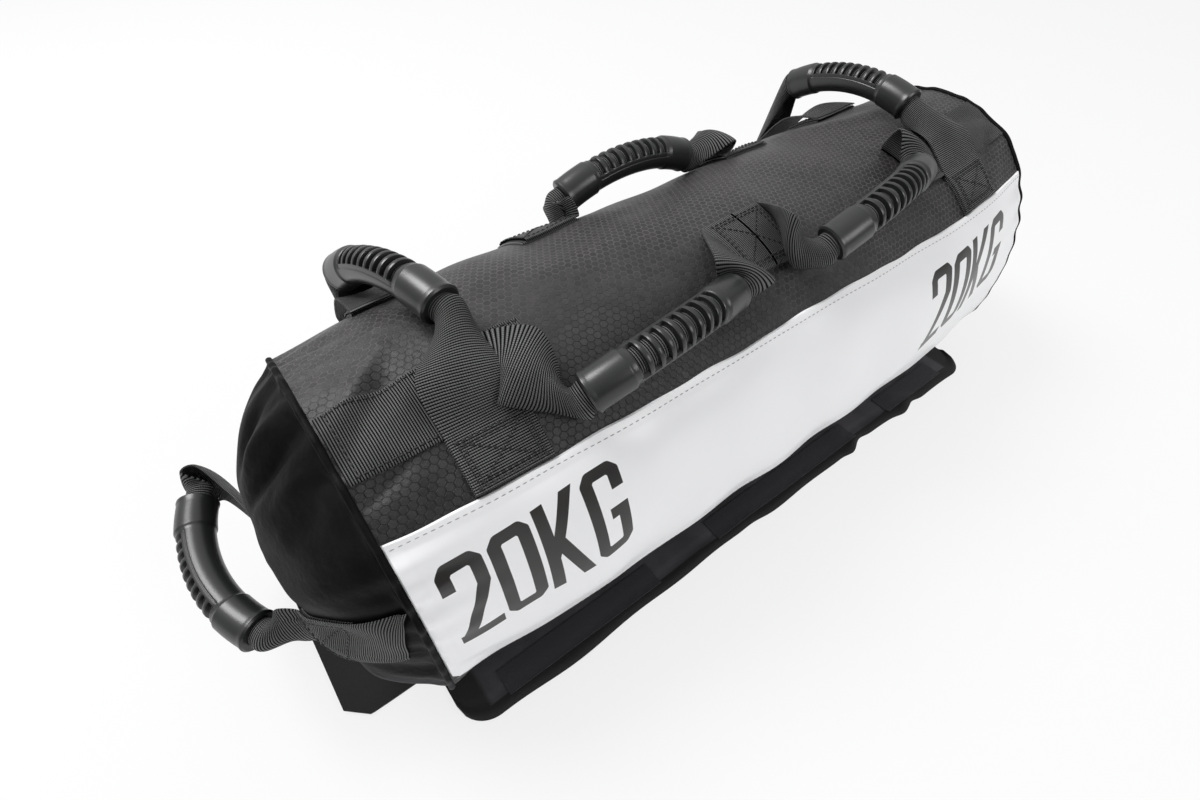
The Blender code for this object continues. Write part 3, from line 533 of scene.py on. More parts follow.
def honeycomb(place, cell, line):
    """Hexagons of a given width: a line mask between them, and a number of its own for each."""
    low = tuple(-v for v in HEXAGON)
    place = vectors("SCALE", place, scale=1.0 / cell)
    one = vectors("WRAP", place, HEXAGON, low)
    two = vectors("WRAP", vectors("SUBTRACT", place, HEXAGON), HEXAGON, low)
    nearer = maths("LESS_THAN", vectors("LENGTH", two), vectors("LENGTH", one))
    local = mix("VECTOR", nearer, one, two)
    size = vectors("ABSOLUTE", local)
    edge = maths("MAXIMUM", parts(size)[0], vectors("DOT_PRODUCT", size, HEXAGON))
    start = 0.5 - line
    tint = add(place.tree, "ShaderNodeTexWhiteNoise", {"Vector": vectors("SUBTRACT", place, local)})
    return {"Line": ramp(edge, start, start + 0.05), "Tint": Wire(tint, "Value")}


def threads(place, pitch):
    """A plain weave: the height of the crossing threads."""
    u, v, _ = parts(vectors("SCALE", place, scale=math.pi / pitch))
    u, v = maths("SINE", u), maths("SINE", v)
    over = maths("GREATER_THAN", u * v, 0.0)
    return {"Height": maths("ABSOLUTE", u) * over + maths("ABSOLUTE", v) * (1.0 - over)}


def webbing_ribs(place, rib, thread):
    """Heavy webbing: ribs across its width, each made of short slanted threads."""
    u, v, _ = parts(place)
    crest = maths("POWER", maths("ABSOLUTE", maths("SINE", u / rib * math.pi)), 1.1)
    strand = maths("ABSOLUTE", maths("SINE", v / thread * math.pi))
    height = crest * ramp(strand, 0.0, 0.6, 0.62, 1.0)
    # Shade is painted light and shade: 0 in the shaded gaps between ribs, 1 on the lit crests.
    return {"Height": height, "Shade": ramp(height, 0.25, 0.95)}


def stroke(place, start, run, best):
    """How far a place is from the middle line between two points."""
    from_start = vectors("SUBTRACT", place, start)
    share = vectors("DOT_PRODUCT", from_start, run) / vectors("DOT_PRODUCT", run, run)
    nearest = vectors("SCALE", run, scale=maths("MINIMUM", maths("MAXIMUM", share, 0.0), 1.0))
    return {"Away": maths("MINIMUM", vectors("DISTANCE", from_start, nearest), best)}


def bar(place, start, run, half, best):
    """Like stroke, with square ends: how far a place is from a straight bar's middle line."""
    from_start, long = vectors("SUBTRACT", place, start), vectors("LENGTH", run)
    along = vectors("DOT_PRODUCT", from_start, run) / long
    aside = maths("SQRT", maths("MAXIMUM", 0.0,
                                vectors("DOT_PRODUCT", from_start, from_start) - along * along))
    past = half + (maths("ABSOLUTE", along - long * 0.5) - long * 0.5)
    return {"Away": maths("MINIMUM", best, maths("MAXIMUM", aside, past))}


HONEYCOMB = new_group(honeycomb, Place=None, Cell=0.005, Line=0.09)
THREADS = new_group(threads, Place=None, Pitch=0.0006)
RIBS = new_group(webbing_ribs, Place=None, Rib=0.00122, Thread=0.0011)
STROKE = new_group(stroke, Place=None, Start=None, Run=None, Best=1.0)
BAR = new_group(bar, Place=None, Start=None, Run=None, Half=0.003, Best=1.0)
print("groups:", [group.name for group in bpy.data.node_groups])

# %% [markdown]
# ## Finishes
# The bag is black ripstop nylon with a soft sheen; its hexagons show as fine lines with a painted
# sheen: dark where the cloth faces the camera and pale at grazing angles. The rounded ends are a
# plainer nylon, with a painted highlight on their bulging lower front corner. The webbing is ribbed
# and dull, with painted shade in the gaps between its ribs and a painted highlight, with some dust,
# on their crests; the grips are satin moulded plastic, the hook tape is a deep purple-black fuzz,
# and the band is glossy white. Every roughness and colour that is the same all over a piece is set
# on the shader itself.

# %% Cloth finishes
def ripstop_finish():
    finish = Finish("ripstop", (0.020, 0.019, 0.0195), 0.46, Sheen_Weight=0.04, Sheen_Roughness=0.5,
                    Specular_IOR_Level=0.40)
    cells = use_group(HONEYCOMB, Place=finish.uv(), Cell=0.0041, Line=0.085)
    grain = noise(finish.place(), 1300.0, 3.0, 0.65)
    patches = ramp(noise(finish.place(), 13.0, 3.0), 0.35, 0.68)
    tone = mix_colours(patches, (0.006, 0.0056, 0.006), (0.017, 0.0161, 0.0166))
    speck = (cells["Tint"] + ramp(grain, 0.4, 0.75)) * 0.26
    # Painted sheen: the hexagon lines are painted near black where the cloth faces the camera and
    # pale at grazing angles.
    facing = Wire(add(finish.tree, "ShaderNodeLayerWeight", {"Blend": 0.35}), "Facing")
    line = mix_colours(ramp(facing, 0.08, 0.40), (0.0010, 0.0010, 0.0012), (0.110, 0.102, 0.103))
    broken = ramp(noise(finish.place(), 420.0, 1.0), 0.30, 0.62, 0.45, 1.0)
    finish.feed(Base_Color=mix_colours(cells["Line"] * broken,
                                       mix_colours(speck, tone, (0.058, 0.054, 0.056)), line))
    soft = finish.bump(noise(finish.place(), 26.0, 4.0, 0.55), 0.0042, 0.55)
    finish.bump(grain * 0.5 - cells["Line"] * 0.9, 0.00045, 0.9, soft)
    return finish.material


def end_cloth_finish():
    """Plain dark nylon; its bulging lower front corner is painted paler and purplish, a painted
    highlight.
    """
    finish = Finish("end_cloth", (0.010, 0.0095, 0.0105), 0.55, Sheen_Weight=0.01,
                    Specular_IOR_Level=0.08)
    place = finish.place()
    patches = ramp(noise(place, 22.0, 3.0), 0.4, 0.68)
    dark = mix_colours(patches, (0.0018, 0.0017, 0.0019), (0.0060, 0.0057, 0.0062))
    _, y, z = parts(place)
    # Painted highlight: the low front corner, where the cloth bulges out and faces up, is painted
    # paler.
    corner = ramp(z, 0.066, 0.056) * ramp(y, -0.012, -0.030)
    finish.feed(Base_Color=mix_colours(corner, dark, (0.030, 0.028, 0.0325)))
    soft = finish.bump(noise(place, 24.0, 4.0, 0.55), 0.006, 0.6)
    finish.bump(noise(place, 1500.0, 3.0, 0.6), 0.00022, 0.7, soft)
    return finish.material


def matte_cloth_finish():
    finish = Finish("matte_cloth", (0.017, 0.0165, 0.0175), 0.82, Sheen_Weight=0.12,
                    Specular_IOR_Level=0.3)
    finish.bump(use_group(THREADS, Place=finish.uv(), Pitch=0.0009)["Height"], 0.00012, 0.6)
    return finish.material


def flap_lining_finish():
    """Purplish grey lining on the flap's inner side, with a black binding along its free edge."""
    finish = Finish("flap_lining", (0.040, 0.038, 0.043), 0.7, Sheen_Weight=0.1,
                    Specular_IOR_Level=0.25)
    place = finish.place()
    x, y, _ = parts(place)
    front = ramp(y - noise(place, 18.0, 1.0) * 0.004, -0.0992, -0.0984, 1.0, 0.0)
    side = ramp(maths("ABSOLUTE", x), 0.232, 0.236)
    patches = ramp(noise(place, 24.0, 3.0), 0.35, 0.7)
    lining = mix_colours(patches, (0.047, 0.045, 0.050), (0.084, 0.079, 0.090))
    binding = maths("MAXIMUM", front, side)
    finish.feed(Base_Color=mix_colours(binding, lining, (0.017, 0.0162, 0.0170)))
    finish.bump(noise(place, 1500.0, 3.0, 0.6), 0.00025, 0.7)
    return finish.material


def webbing_finish():
    finish = Finish("webbing", (0.045, 0.046, 0.046), 0.50, Sheen_Weight=0.02,
                    Specular_IOR_Level=0.45)
    ribs = use_group(RIBS, Place=finish.uv())
    # Painted shade and highlight: the gaps between ribs are painted near black as shade, and the
    # crests pale as highlight with some dust.
    shade = ribs["Shade"] * ramp(noise(finish.place(), 30.0, 2.0), 0.3, 0.7, 0.7, 1.0)
    finish.feed(Base_Color=mix_colours(shade, (0.0008, 0.0009, 0.0009), (0.120, 0.124, 0.121)),
                Specular_IOR_Level=shade * 0.55)
    finish.bump(ribs["Height"], 0.00050)
    return finish.material


def hook_tape_finish():
    finish = Finish("hook_tape", (0.020, 0.016, 0.024), 0.95, Sheen_Weight=0.5, Sheen_Roughness=0.6,
                    Specular_IOR_Level=0.2)
    fuzz = noise(finish.place(), 1500.0, 3.0, 0.7)
    finish.feed(Base_Color=mix_colours(ramp(fuzz, 0.35, 0.7), (0.005, 0.0045, 0.007),
                                       (0.028, 0.024, 0.035)))
    finish.bump(fuzz, 0.0009, 0.9)
    return finish.material


def plain_finish(name, colour, roughness, bump=0.0, grain=(900.0, 3.0), strength=0.6, **sockets):
    finish = Finish(name, colour, roughness, **sockets)
    if bump:
        finish.bump(noise(finish.place(), *grain), bump, strength)
    return finish.material


# %% [markdown]
# ## The weight marking
# The band states the filled weight twice. The marking is drawn in the band's own shader, as ink has
# no thickness: each letter is a few straight strokes of a plain condensed block letter, and the ink
# is wherever a point is closer to a stroke than half its width. The letters lean with the band, so
# the place is first measured from a slanted baseline.

# %% Weight marking
LETTER_GAP, STROKE_HALF, SECOND_MARK, MARK_HEIGHT = 0.0026, 0.0032, 0.352, 0.0545
MARK_START, MARK_BASE, MARK_TOP = -0.2345, (-0.0015, 0.160), (0.0570, 0.090)
INK_EDGE, BAND_WHITE = 0.00012, (0.87, 0.872, 0.885)
LETTERS = {
    # width, the corners of one round-ended stroke, and square bars: x, up, x, up and how far each
    # end of the bar runs on, in half widths
    "2": (0.0222, [(0, 0.94), (0.16, 1), (0.84, 1), (1, 0.94), (1, 0.66), (0.02, 0)],
          [(0, 0.73, 0, 0.94, 0, 0), (0, 0, 1, 0, 1, 1)]),
    "0": (0.0212, [(0, 0.06), (0, 0.94), (0.16, 1), (0.84, 1), (1, 0.94), (1, 0.06), (0.84, 0),
                   (0.16, 0), (0, 0.06)], []),
    "K": (0.0232, [],
          [(0, 0, 0, 1, 1, 1), (0.02, 0.40, 0.94, 1.05, 0, 1), (0.28, 0.58, 0.96, -0.05, 0, 1)]),
    "G": (0.0212, [(1, 0.94), (0.84, 1), (0.16, 1), (0, 0.94), (0, 0.06), (0.16, 0), (0.84, 0),
                   (1, 0.06)],
          [(1, 0.74, 1, 0.94, 0, 0), (1, 0.06, 1, 0.47, 0, 1), (1, 0.47, 0.52, 0.47, 1, 0)]),
}


def marking_strokes():
    """The marking's strokes as (start, run, is_bar), in metres from the baseline's start."""
    strokes, left = [], STROKE_HALF
    for letter in "20KG":
        width, corners, bars = LETTERS[letter]
        size = np.array([width, MARK_HEIGHT]) - 2 * STROKE_HALF
        lines = [(*a, *b) for a, b in zip(corners, corners[1:])] + bars
        for x0, up0, x1, up1, *ends in lines:
            start, stop = (np.array([left, STROKE_HALF]) + size * corner
                           for corner in ((x0, up0), (x1, up1)))
            ahead = unit(stop - start) * STROKE_HALF
            if ends:
                start, stop = start - ahead * ends[0], stop + ahead * ends[1]
            strokes.append(((*start, 0), (*(stop - start), 0), bool(ends)))
        left += width + LETTER_GAP
    return strokes


def marking_mask(place):
    along, arc, _ = parts(place)
    x = along - MARK_START - maths("GREATER_THAN", along, 0.0) * SECOND_MARK
    base, top = (maths("MULTIPLY_ADD", x, slope, start) for start, slope in (MARK_BASE, MARK_TOP))
    up = (arc - base) / (top - base) * MARK_HEIGHT
    joined = Wire(add(place.tree, "ShaderNodeCombineXYZ", {"X": x, "Y": up}))
    best = 1.0
    for start, run, is_bar in marking_strokes():
        line = {"Place": joined, "Start": start, "Run": run, "Best": best}
        shape = use_group(BAR, Half=STROKE_HALF, **line) if is_bar else use_group(STROKE, **line)
        best = shape["Away"]
    from_middle = maths("ABSOLUTE", up - MARK_HEIGHT / 2)
    best = maths("MAXIMUM", best, from_middle - (MARK_HEIGHT / 2 - STROKE_HALF))
    return ramp(best, STROKE_HALF - INK_EDGE, STROKE_HALF + INK_EDGE, 1.0, 0.0)


def white_band_finish():
    finish = Finish("white_band", BAND_WHITE, 0.30, Specular_IOR_Level=0.5)
    ink = marking_mask(finish.uv())
    finish.feed(Base_Color=mix_colours(ink, BAND_WHITE, (0.020, 0.0185, 0.0175)))
    finish.bump(noise(finish.place(), 45.0, 2.0), 0.0011, 0.35)
    return finish.material


# %% Make the finishes
RIPSTOP, END_CLOTH, MATTE = ripstop_finish(), end_cloth_finish(), matte_cloth_finish()
WEBBING_CLOTH, HOOK_FUZZ = webbing_finish(), hook_tape_finish()
GRIP_PLASTIC = plain_finish("grip_rubber", (0.013, 0.0138, 0.0139), 0.34, 0.00004, (2600.0, 2.0),
                            0.5, Specular_IOR_Level=0.60)
WHITE, FLAP_LINING = white_band_finish(), flap_lining_finish()
LOOP_FUZZ = plain_finish("loop_tape", (0.028, 0.0260, 0.0325), 0.95, 0.0006, Sheen_Weight=0.2)
ZIP_PLASTIC = plain_finish("zip_plastic", (0.016, 0.016, 0.017), 0.38)
ZIP_METAL = plain_finish("zip_metal", (0.58, 0.58, 0.60), 0.30, Metallic=1.0)
LINER = plain_finish("filler_cloth", (0.60, 0.58, 0.52), 0.6, 0.0004)
SAND = plain_finish("sand", (0.55, 0.45, 0.31), 0.95, 0.0008)
THREAD = plain_finish("black_thread", (0.006, 0.006, 0.0065), 0.5)
PALE_THREAD = plain_finish("grey_thread", (0.30, 0.30, 0.31), 0.6, Sheen_Weight=0.2)
print(len(bpy.data.materials), "materials")

# %% [markdown]
# ## The bag's cloth
# The tube is one piece of ripstop that is slit low at the front for the zip. It is a grid over the
# two cloth coordinates, about two millimetres to a cell, so that the folds are real shape and not
# only shading.

# %% Bag tube
CLOTH, SEAM_GAP, GAP = 0.0015, 0.0003, 0.0005
BAND_TOP, BAND_BOTTOM = 0.0786, -0.0397
HOOK_TOP, HOOK_BOTTOM = -0.0440, -0.0690
HOOK_REACH = {"left": (-0.90, -0.42), "centre": (-0.20, 0.42), "right": (0.60, 0.90)}
ZIP_SPLIT, ZIP_TAPE_WIDTH, ZIP_REACH = 0.004, 0.0075, 0.136
BAG_ROWS, BAG_COLUMNS, STUFFED = 241, 331, 0.9


def build_bag_tube():
    x = np.linspace(-HALF_LENGTH, HALF_LENGTH, BAG_ROWS)
    arc = np.linspace(ZIP_ARC + ZIP_SPLIT / 2, ZIP_ARC - ZIP_SPLIT / 2 + ROUND, BAG_COLUMNS)
    outer = cloth(x[:, None], arc[None])
    inner = cloth(x[:, None], arc[None], -CLOTH)
    tube = shell("bag_tube", outer, inner, metres_uv(x, arc), [RIPSTOP])
    settle(tube, "bag", "bag_cloth", "bag_body")


build_bag_tube()

# %% [markdown]
# ## Rounded ends
# Each end is a disc of nylon that bulges between its seam and its middle. A square grid bent to a
# disc covers it without a pole. Close to the seam the cloth dips behind the rolled edge and falls
# into pleats, which fade towards the middle; low at the front the sand pushes it out.

# %% Ends
CAP_BULGE, CAP_POWER, CAP_CELLS, CAP_RADIUS = 0.043, 3.4, 170, 0.112
PLEATS = [(int(rng.integers(9, 34)), rng.uniform(0, 6.3), rng.uniform(0.3, 1.0)) for _ in range(8)]
PLEAT_HEIGHT, PLEAT_REACH, SLOW_HEIGHT = 0.0021, 0.020, 0.0010
DIP_DEPTH, DIP_FROM_SEAM, DIP_WIDTH = 0.0013, 0.004, 0.0030
CAP_FOLDS = [  # arc, share, width along the arc, width in share, height
    (0.150, 0.80, 0.0070, 0.17, -0.0062), (0.172, 0.84, 0.0075, 0.13, 0.0040),
    (0.192, 0.80, 0.0065, 0.15, -0.0044), (0.126, 0.86, 0.0080, 0.10, 0.0034),
    (0.105, 0.84, 0.0080, 0.12, -0.0034), (-0.062, 0.84, 0.0260, 0.13, 0.0066),
    (-0.098, 0.86, 0.0100, 0.10, -0.0040), (0.022, 0.74, 0.0160, 0.20, -0.0048),
    (0.060, 0.66, 0.0200, 0.20, 0.0030), (0.245, 0.82, 0.0090, 0.14, -0.0040),
    (0.285, 0.80, 0.0110, 0.15, 0.0030), (0.330, 0.82, 0.0100, 0.14, -0.0036),
]


def rim_of(side):
    """Arcs round an end's rim, their places, and their angles round the end's middle."""
    arcs = np.linspace(0, ROUND, 1441)[:-1]
    rim = skin(side * HALF_LENGTH, arcs, -GAP)
    return arcs, rim, np.unwrap(np.arctan2(rim[:, 2] - MIDDLE_Z, -rim[:, 1]))


RIMS = {side: rim_of(side) for _, side in SIDES}


def on_turn(side, turn):
    """An angle round an end's middle, brought to where that end's table of angles begins."""
    start = RIMS[side][2][0]
    return np.mod(turn - start, 2 * math.pi) + start


def cap_relief(side, share, arc):
    from_seam = (1 - share) * 0.1
    pleat = sum(size * np.cos(turns * 2 * math.pi * arc / ROUND + phase + side)
                for turns, phase, size in PLEATS)
    fade = np.exp(-from_seam / PLEAT_REACH)
    height = pleat / 2.6 * PLEAT_HEIGHT * fade * smooth(0, DIP_FROM_SEAM, from_seam)
    height -= DIP_DEPTH * np.exp(-((from_seam - DIP_FROM_SEAM) / DIP_WIDTH) ** 2)
    wrapped = np.mod(arc + 0.12, ROUND) - 0.12
    for at_arc, at_share, wide, deep, lift in CAP_FOLDS:
        away = -((wrapped - at_arc) / wide) ** 2 - ((share - at_share) / deep) ** 2
        height += lift * np.exp(away)
    slow = np.sin(37 * arc + 5 * share + side) * np.sin(4 * math.pi * share)
    return (height + SLOW_HEIGHT * slow) * smooth(0.0, 0.03, share) * smooth(1.0, 0.975, share)


def cap_x(side, share, arc, lift):
    bulge = CAP_BULGE * (1 - share ** CAP_POWER)
    return side * (HALF_LENGTH + SEAM_GAP + CLOTH + bulge + lift + cap_relief(side, share, arc))


def cap_at(side, share, arc, lift=0.0):
    """Points on a rounded end: share is 0 in its middle and 1 at its seam."""
    share, arc, lift = np.broadcast_arrays(*(np.asarray(v, float) for v in (share, arc, lift)))
    x_at_rim = side * HALF_LENGTH
    rim = skin(x_at_rim, arc, -GAP + lift * share + relief(x_at_rim, arc) * share ** 6)
    z = MIDDLE_Z + (rim[..., 2] - MIDDLE_Z) * share
    return np.stack([cap_x(side, share, arc, lift), rim[..., 1] * share, z], -1)


def cap_over(side, y, z, lift=0.0):
    """Points on a rounded end, told by their place in the Y-Z plane."""
    arcs, rim, angle = RIMS[side]
    turn = on_turn(side, np.arctan2(z - MIDDLE_Z, -np.asarray(y, float)))
    reach = np.interp(turn, angle, np.hypot(rim[:, 1], rim[:, 2] - MIDDLE_Z))
    share, arc = np.hypot(y, z - MIDDLE_Z) / reach, np.interp(turn, angle, arcs)
    return np.stack(np.broadcast_arrays(cap_x(side, share, arc, lift), y, z), -1)


def build_end(word, side):
    flat = np.linspace(-1, 1, CAP_CELLS)
    s, t = np.meshgrid(flat, flat, indexing="ij")
    u, v = s * np.sqrt(1 - t * t / 2), t * np.sqrt(1 - s * s / 2)
    share = np.minimum(np.hypot(u, v), 1.0)
    arcs, _, angle = RIMS[side]
    arc = np.interp(on_turn(side, np.arctan2(v, u)), angle, arcs)
    cap = shell("end_cloth_" + word, cap_at(side, share, arc), cap_at(side, share, arc, -CLOTH),
                np.stack([u, v], -1) * CAP_RADIUS, [END_CLOTH])
    settle(cap, "bag", "bag_cloth", "end_cap_" + word)


for word, side in SIDES:
    build_end(word, side)

# %% [markdown]
# ## Rolled seams
# Where the tube meets its ends the seam turns in, and the edge shows as a soft rounded ridge. It is
# a tube round the rim, a little wider than high, and it swells and thins with small gathers.

# %% Seams
RIDGE_ACROSS, RIDGE_OUT, RIDGE_STEPS, RIDGE_SIDES, RIDGE_ROUND = 0.0017, 0.0013, 560, 16, 0.024
RIDGE_LIFT, RIDGE_PAST_SEAM, RIDGE_SWELL = 0.0004, 0.0011, 0.06
GATHERS = ((47, 0.4, 0.3), (71, 1.9, 0.2), (29, 2.2, 0.5), (17, 4.0, 0.6))


def build_seam_ridge(word, side):
    arcs = np.linspace(0, ROUND, RIDGE_STEPS + 1)[:-1]
    turns = np.linspace(0, 2 * math.pi, RIDGE_SIDES + 1)[:-1][None, :, None]
    gather = sum(size * np.sin(n * 2 * math.pi * arcs / ROUND + phase)
                 for n, phase, size in GATHERS)
    middle = cloth(side * HALF_LENGTH, arcs, RIDGE_LIFT)
    swell = (1 + RIDGE_SWELL * gather)[:, None, None]
    ring = (middle[:, None]
            + np.array([side, 0.0, 0.0]) * (RIDGE_PAST_SEAM + RIDGE_ACROSS * np.cos(turns) * swell)
            + outline_normal(arcs)[:, None] * RIDGE_OUT * np.sin(turns) * swell)
    ring[..., 2] = np.maximum(ring[..., 2], SKIN_FLOOR)
    faces, uv_at = grid_corners(RIDGE_STEPS + 1, RIDGE_SIDES, True)
    uv = metres_uv(np.linspace(0, ROUND, RIDGE_STEPS + 1),
                   np.linspace(0, RIDGE_ROUND, RIDGE_SIDES + 1))
    faces = faces % (RIDGE_STEPS * RIDGE_SIDES)
    ridge = mesh_object("seam_ridge_" + word, ring.reshape(-1, 3), faces,
                        [uv[uv_at[..., 0], uv_at[..., 1]]], [END_CLOTH])
    settle(ridge, "bag", "bag_cloth", "end_piping_" + word)


for word, side in SIDES:
    build_seam_ridge(word, side)

# %% [markdown]
# ## Layers sewn on the tube
# The band, the hook tapes, the zip's tapes and the flat webbing all lie on the tube. One function
# lays a patch over the folded cloth: its underside almost touches the cloth, its edges are rounded
# down, and a hem makes a raised edge where the real piece is folded under.

# %% Patches
EDGE_CELL, EDGE_ROUNDING, SEWN_GAP = 0.0007, 0.0009, 0.0002
BAND_THICKNESS, HOOK_THICKNESS, BAND_SHORT, STRAP_SHORT = 0.0009, 0.0011, 0.0008, 0.0015


def patch_on_bag(name, x_reach, arc_reach, thickness, finish, run="x", step=0.002,
                 hem=0.0, hem_width=0.005, edge_wave=0.0, low_corner=0.0):
    (x_low, x_high), (arc_low, arc_high) = x_reach, arc_reach
    x = np.linspace(x_low, x_high, max(8, int((x_high - x_low) / step)))
    arc = np.linspace(arc_low, arc_high, max(8, int((arc_high - arc_low) / step)))
    for values in (x, arc):
        values[1], values[-2] = values[0] + EDGE_CELL, values[-1] - EDGE_CELL
    xs, arcs = np.meshgrid(x, arc, indexing="ij")
    to_end = np.minimum(xs - x_low, x_high - xs)
    near = np.minimum(to_end, np.minimum(arcs - arc_low, arc_high - arcs))
    inside = smooth(0, EDGE_ROUNDING, near)
    top = SEWN_GAP + thickness * (0.45 + 0.55 * inside)
    top = top + hem * inside * smooth(hem_width + 0.0012, hem_width, near)
    if edge_wave:
        share = (arcs - arc_low) / (arc_high - arc_low) * 2 - 1
        drift = np.sin(41 * xs + 0.6) + 0.7 * np.sin(97 * xs + 2.1) + 0.5 * np.sin(173 * xs + share)
        arcs = arcs + edge_wave * drift * np.abs(share) ** 6
    if low_corner:
        into = np.clip(1 - to_end / low_corner, 0, 1)
        rounded = low_corner * (1 - np.sqrt(1 - into ** 2))
        arcs = arcs + rounded * (arc_high - arcs) / (arc_high - arc_low)
    uv = np.stack([xs, arcs] if run == "x" else [arcs, xs], -1)
    return shell(name, cloth(xs, arcs, top), cloth(xs, arcs, SEWN_GAP), uv, [finish])


def build_front():
    reach = HALF_LENGTH - BAND_SHORT
    band = patch_on_bag("white_band", (-reach, reach), (BAND_BOTTOM, BAND_TOP), BAND_THICKNESS,
                        WHITE, hem=0.0005, edge_wave=0.0005, low_corner=0.013)
    settle(band, "bag", "white_band", "front_band")
    for word, (low, high) in HOOK_REACH.items():
        tape = patch_on_bag("hook_tape_sewn_" + word, (low * HALF_LENGTH, high * HALF_LENGTH),
                            (HOOK_BOTTOM, HOOK_TOP), HOOK_THICKNESS, HOOK_FUZZ, edge_wave=0.0003)
        settle(tape, "bag", "hook_and_loop", "hook_tape_" + word)


build_front()

# %% [markdown]
# ## Flat webbing
# Webbing runs along the front of the top and over the bag near both ends. Each stretch stops under
# a sewn box, where a handle's loop leaves it. The ribs cross the webbing, so the UV map runs along
# it whichever way it lies. The boxes on the rounded ends are slanted, as in the picture.

# %% Flat webbing
WEBBING, WEBBING_THICKNESS = 0.040, 0.0014
HALF_WEBBING = WEBBING / 2
CROSS_STRAP_X, CROSS_BOX, BACK_STRAP_RUN = 0.184, 0.029, 0.120
LONG_STRAP_ARC, BACK_LINE_ARC, CENTRE_BOX_HALF = 0.129, 0.232, 0.021
LONG_FOOT_X, BACK_FOOT_X, BACK_BOX = 0.144, 0.062, 0.040
END_FOOT_Z, END_FOOT_NEAR, END_BOX, END_SLANT, END_GAP = 0.085, 0.036, 0.032, 0.60, 0.0004
CROSS_FRONT = (BAND_TOP + GAP, BAND_TOP + GAP + CROSS_BOX)
CROSS_BACK_START = 2 * QUARTER - (BAND_TOP + GAP) - CROSS_BOX
CROSS_BACK = (CROSS_BACK_START, CROSS_BACK_START + BACK_STRAP_RUN)


def around(middle):
    """The reach of a webbing whose middle line lies there."""
    return middle - HALF_WEBBING, middle + HALF_WEBBING


LONG_ARCS, BACK_ARCS = around(LONG_STRAP_ARC), around(BACK_LINE_ARC)
BACK_BOXES = {"left": (-(BACK_FOOT_X + BACK_BOX), -BACK_FOOT_X),
              "right": (BACK_FOOT_X, BACK_FOOT_X + BACK_BOX)}


def build_flat_webbing():
    runs, end = {}, HALF_LENGTH - STRAP_SHORT
    for word, side in SIDES:
        x_reach = around(side * CROSS_STRAP_X)
        runs["cross_strap_" + word + "_front"] = (x_reach, CROSS_FRONT, "arc")
        runs["cross_strap_" + word + "_back"] = (x_reach, CROSS_BACK, "arc")
    runs["long_strap_left"] = ((-end, -LONG_FOOT_X), LONG_ARCS, "x")
    runs["long_strap_centre"] = ((-CENTRE_BOX_HALF, CENTRE_BOX_HALF), LONG_ARCS, "x")
    runs["long_strap_right"] = ((LONG_FOOT_X, end), LONG_ARCS, "x")
    for word, _ in SIDES:
        runs["back_strap_" + word] = (BACK_BOXES[word], BACK_ARCS, "x")
    for name, (x_reach, arc_reach, run) in runs.items():
        strap = patch_on_bag(name + "_webbing", x_reach, arc_reach, WEBBING_THICKNESS,
                             WEBBING_CLOTH, run)
        settle(strap, "bag", "webbing", name)


def build_end_foot(side, name, sign):
    y = np.linspace(sign * END_FOOT_NEAR, sign * (END_FOOT_NEAR + END_BOX), 18)
    z = np.linspace(*around(END_FOOT_Z), 22)
    ys, zs = np.meshgrid(y, z, indexing="ij")
    near = np.minimum(np.minimum(np.abs(ys - y[0]), np.abs(ys - y[-1])),
                      np.minimum(zs - z[0], z[-1] - zs))
    zs = zs + END_SLANT * (np.abs(ys) - END_FOOT_NEAR)
    top = END_GAP + WEBBING_THICKNESS * (0.4 + 0.6 * smooth(0, 0.0012, near))
    foot = shell(name + "_webbing", cap_over(side, ys, zs, top), cap_over(side, ys, zs, END_GAP),
                 metres_uv(y, z), [WEBBING_CLOTH])
    settle(foot, "bag", "webbing", name)


build_flat_webbing()
for word, side in SIDES:
    for place_word, sign in (("front", -1), ("back", 1)):
        build_end_foot(side, "end_foot_" + word + "_" + place_word, sign)

# %% [markdown]
# ## Handle routes
# Seven handles stand on the bag. Each is one length of webbing that leaves its first foot, passes
# through a moulded grip and comes back down to its second foot. A route tells where both feet are
# sewn, through which places each leg climbs, and how the grip lies. The routes are the packed
# part's own, apart from the outer foot of the front left handle, which the picture shows under the
# long strap, and the slant of the feet on the rounded ends.

# %% Routes
GRIP_LENGTH, GRIP_RADIUS, GRIP_COLLAR, GRIP_ARCH = 0.098, 0.0098, 0.0106, 0.011
ARCH_RADIUS = (GRIP_LENGTH ** 2 / 4 + GRIP_ARCH ** 2) / (2 * GRIP_ARCH)
HALF_ARCH = math.asin(GRIP_LENGTH / 2 / ARCH_RADIUS)
SEWN_LIFT, END_SEWN_LIFT, OUTER_FOOT_X = 0.0024, 0.0024 + 0.0003, 0.171


def over_bag(x_share, arc_share, lift_share):
    return skin(x_share * HALF_LENGTH, arc_share * QUARTER, lift_share * 2 * GRIP_RADIUS)


def cross_route(side, lift_share, heading):
    """A handle across the top; sewn places its feet: which one, how far to the grip, across."""
    x, front = side * CROSS_STRAP_X, BAND_TOP + GAP + CROSS_BOX + SEAM_GAP * 2

    def sewn(end, s, t):
        return cloth(x + t, front + s if end == 0 else 2 * QUARTER - front - s, SEWN_LIFT)

    first, *others, middle = (over_bag(x / HALF_LENGTH, arc_share, lift) for arc_share, lift in (
        (0.80, 0.60), (1.52, 0.50), (1.72, 0.66), (1.74, 1.00), (1.26, lift_share)))
    return dict(sewn=sewn, sewn_runs=(0.0285, 0.0285), legs=([first], others), middle=middle,
                heading=heading, outward=(0, 0.17, 1), up=(0, 0, 1))


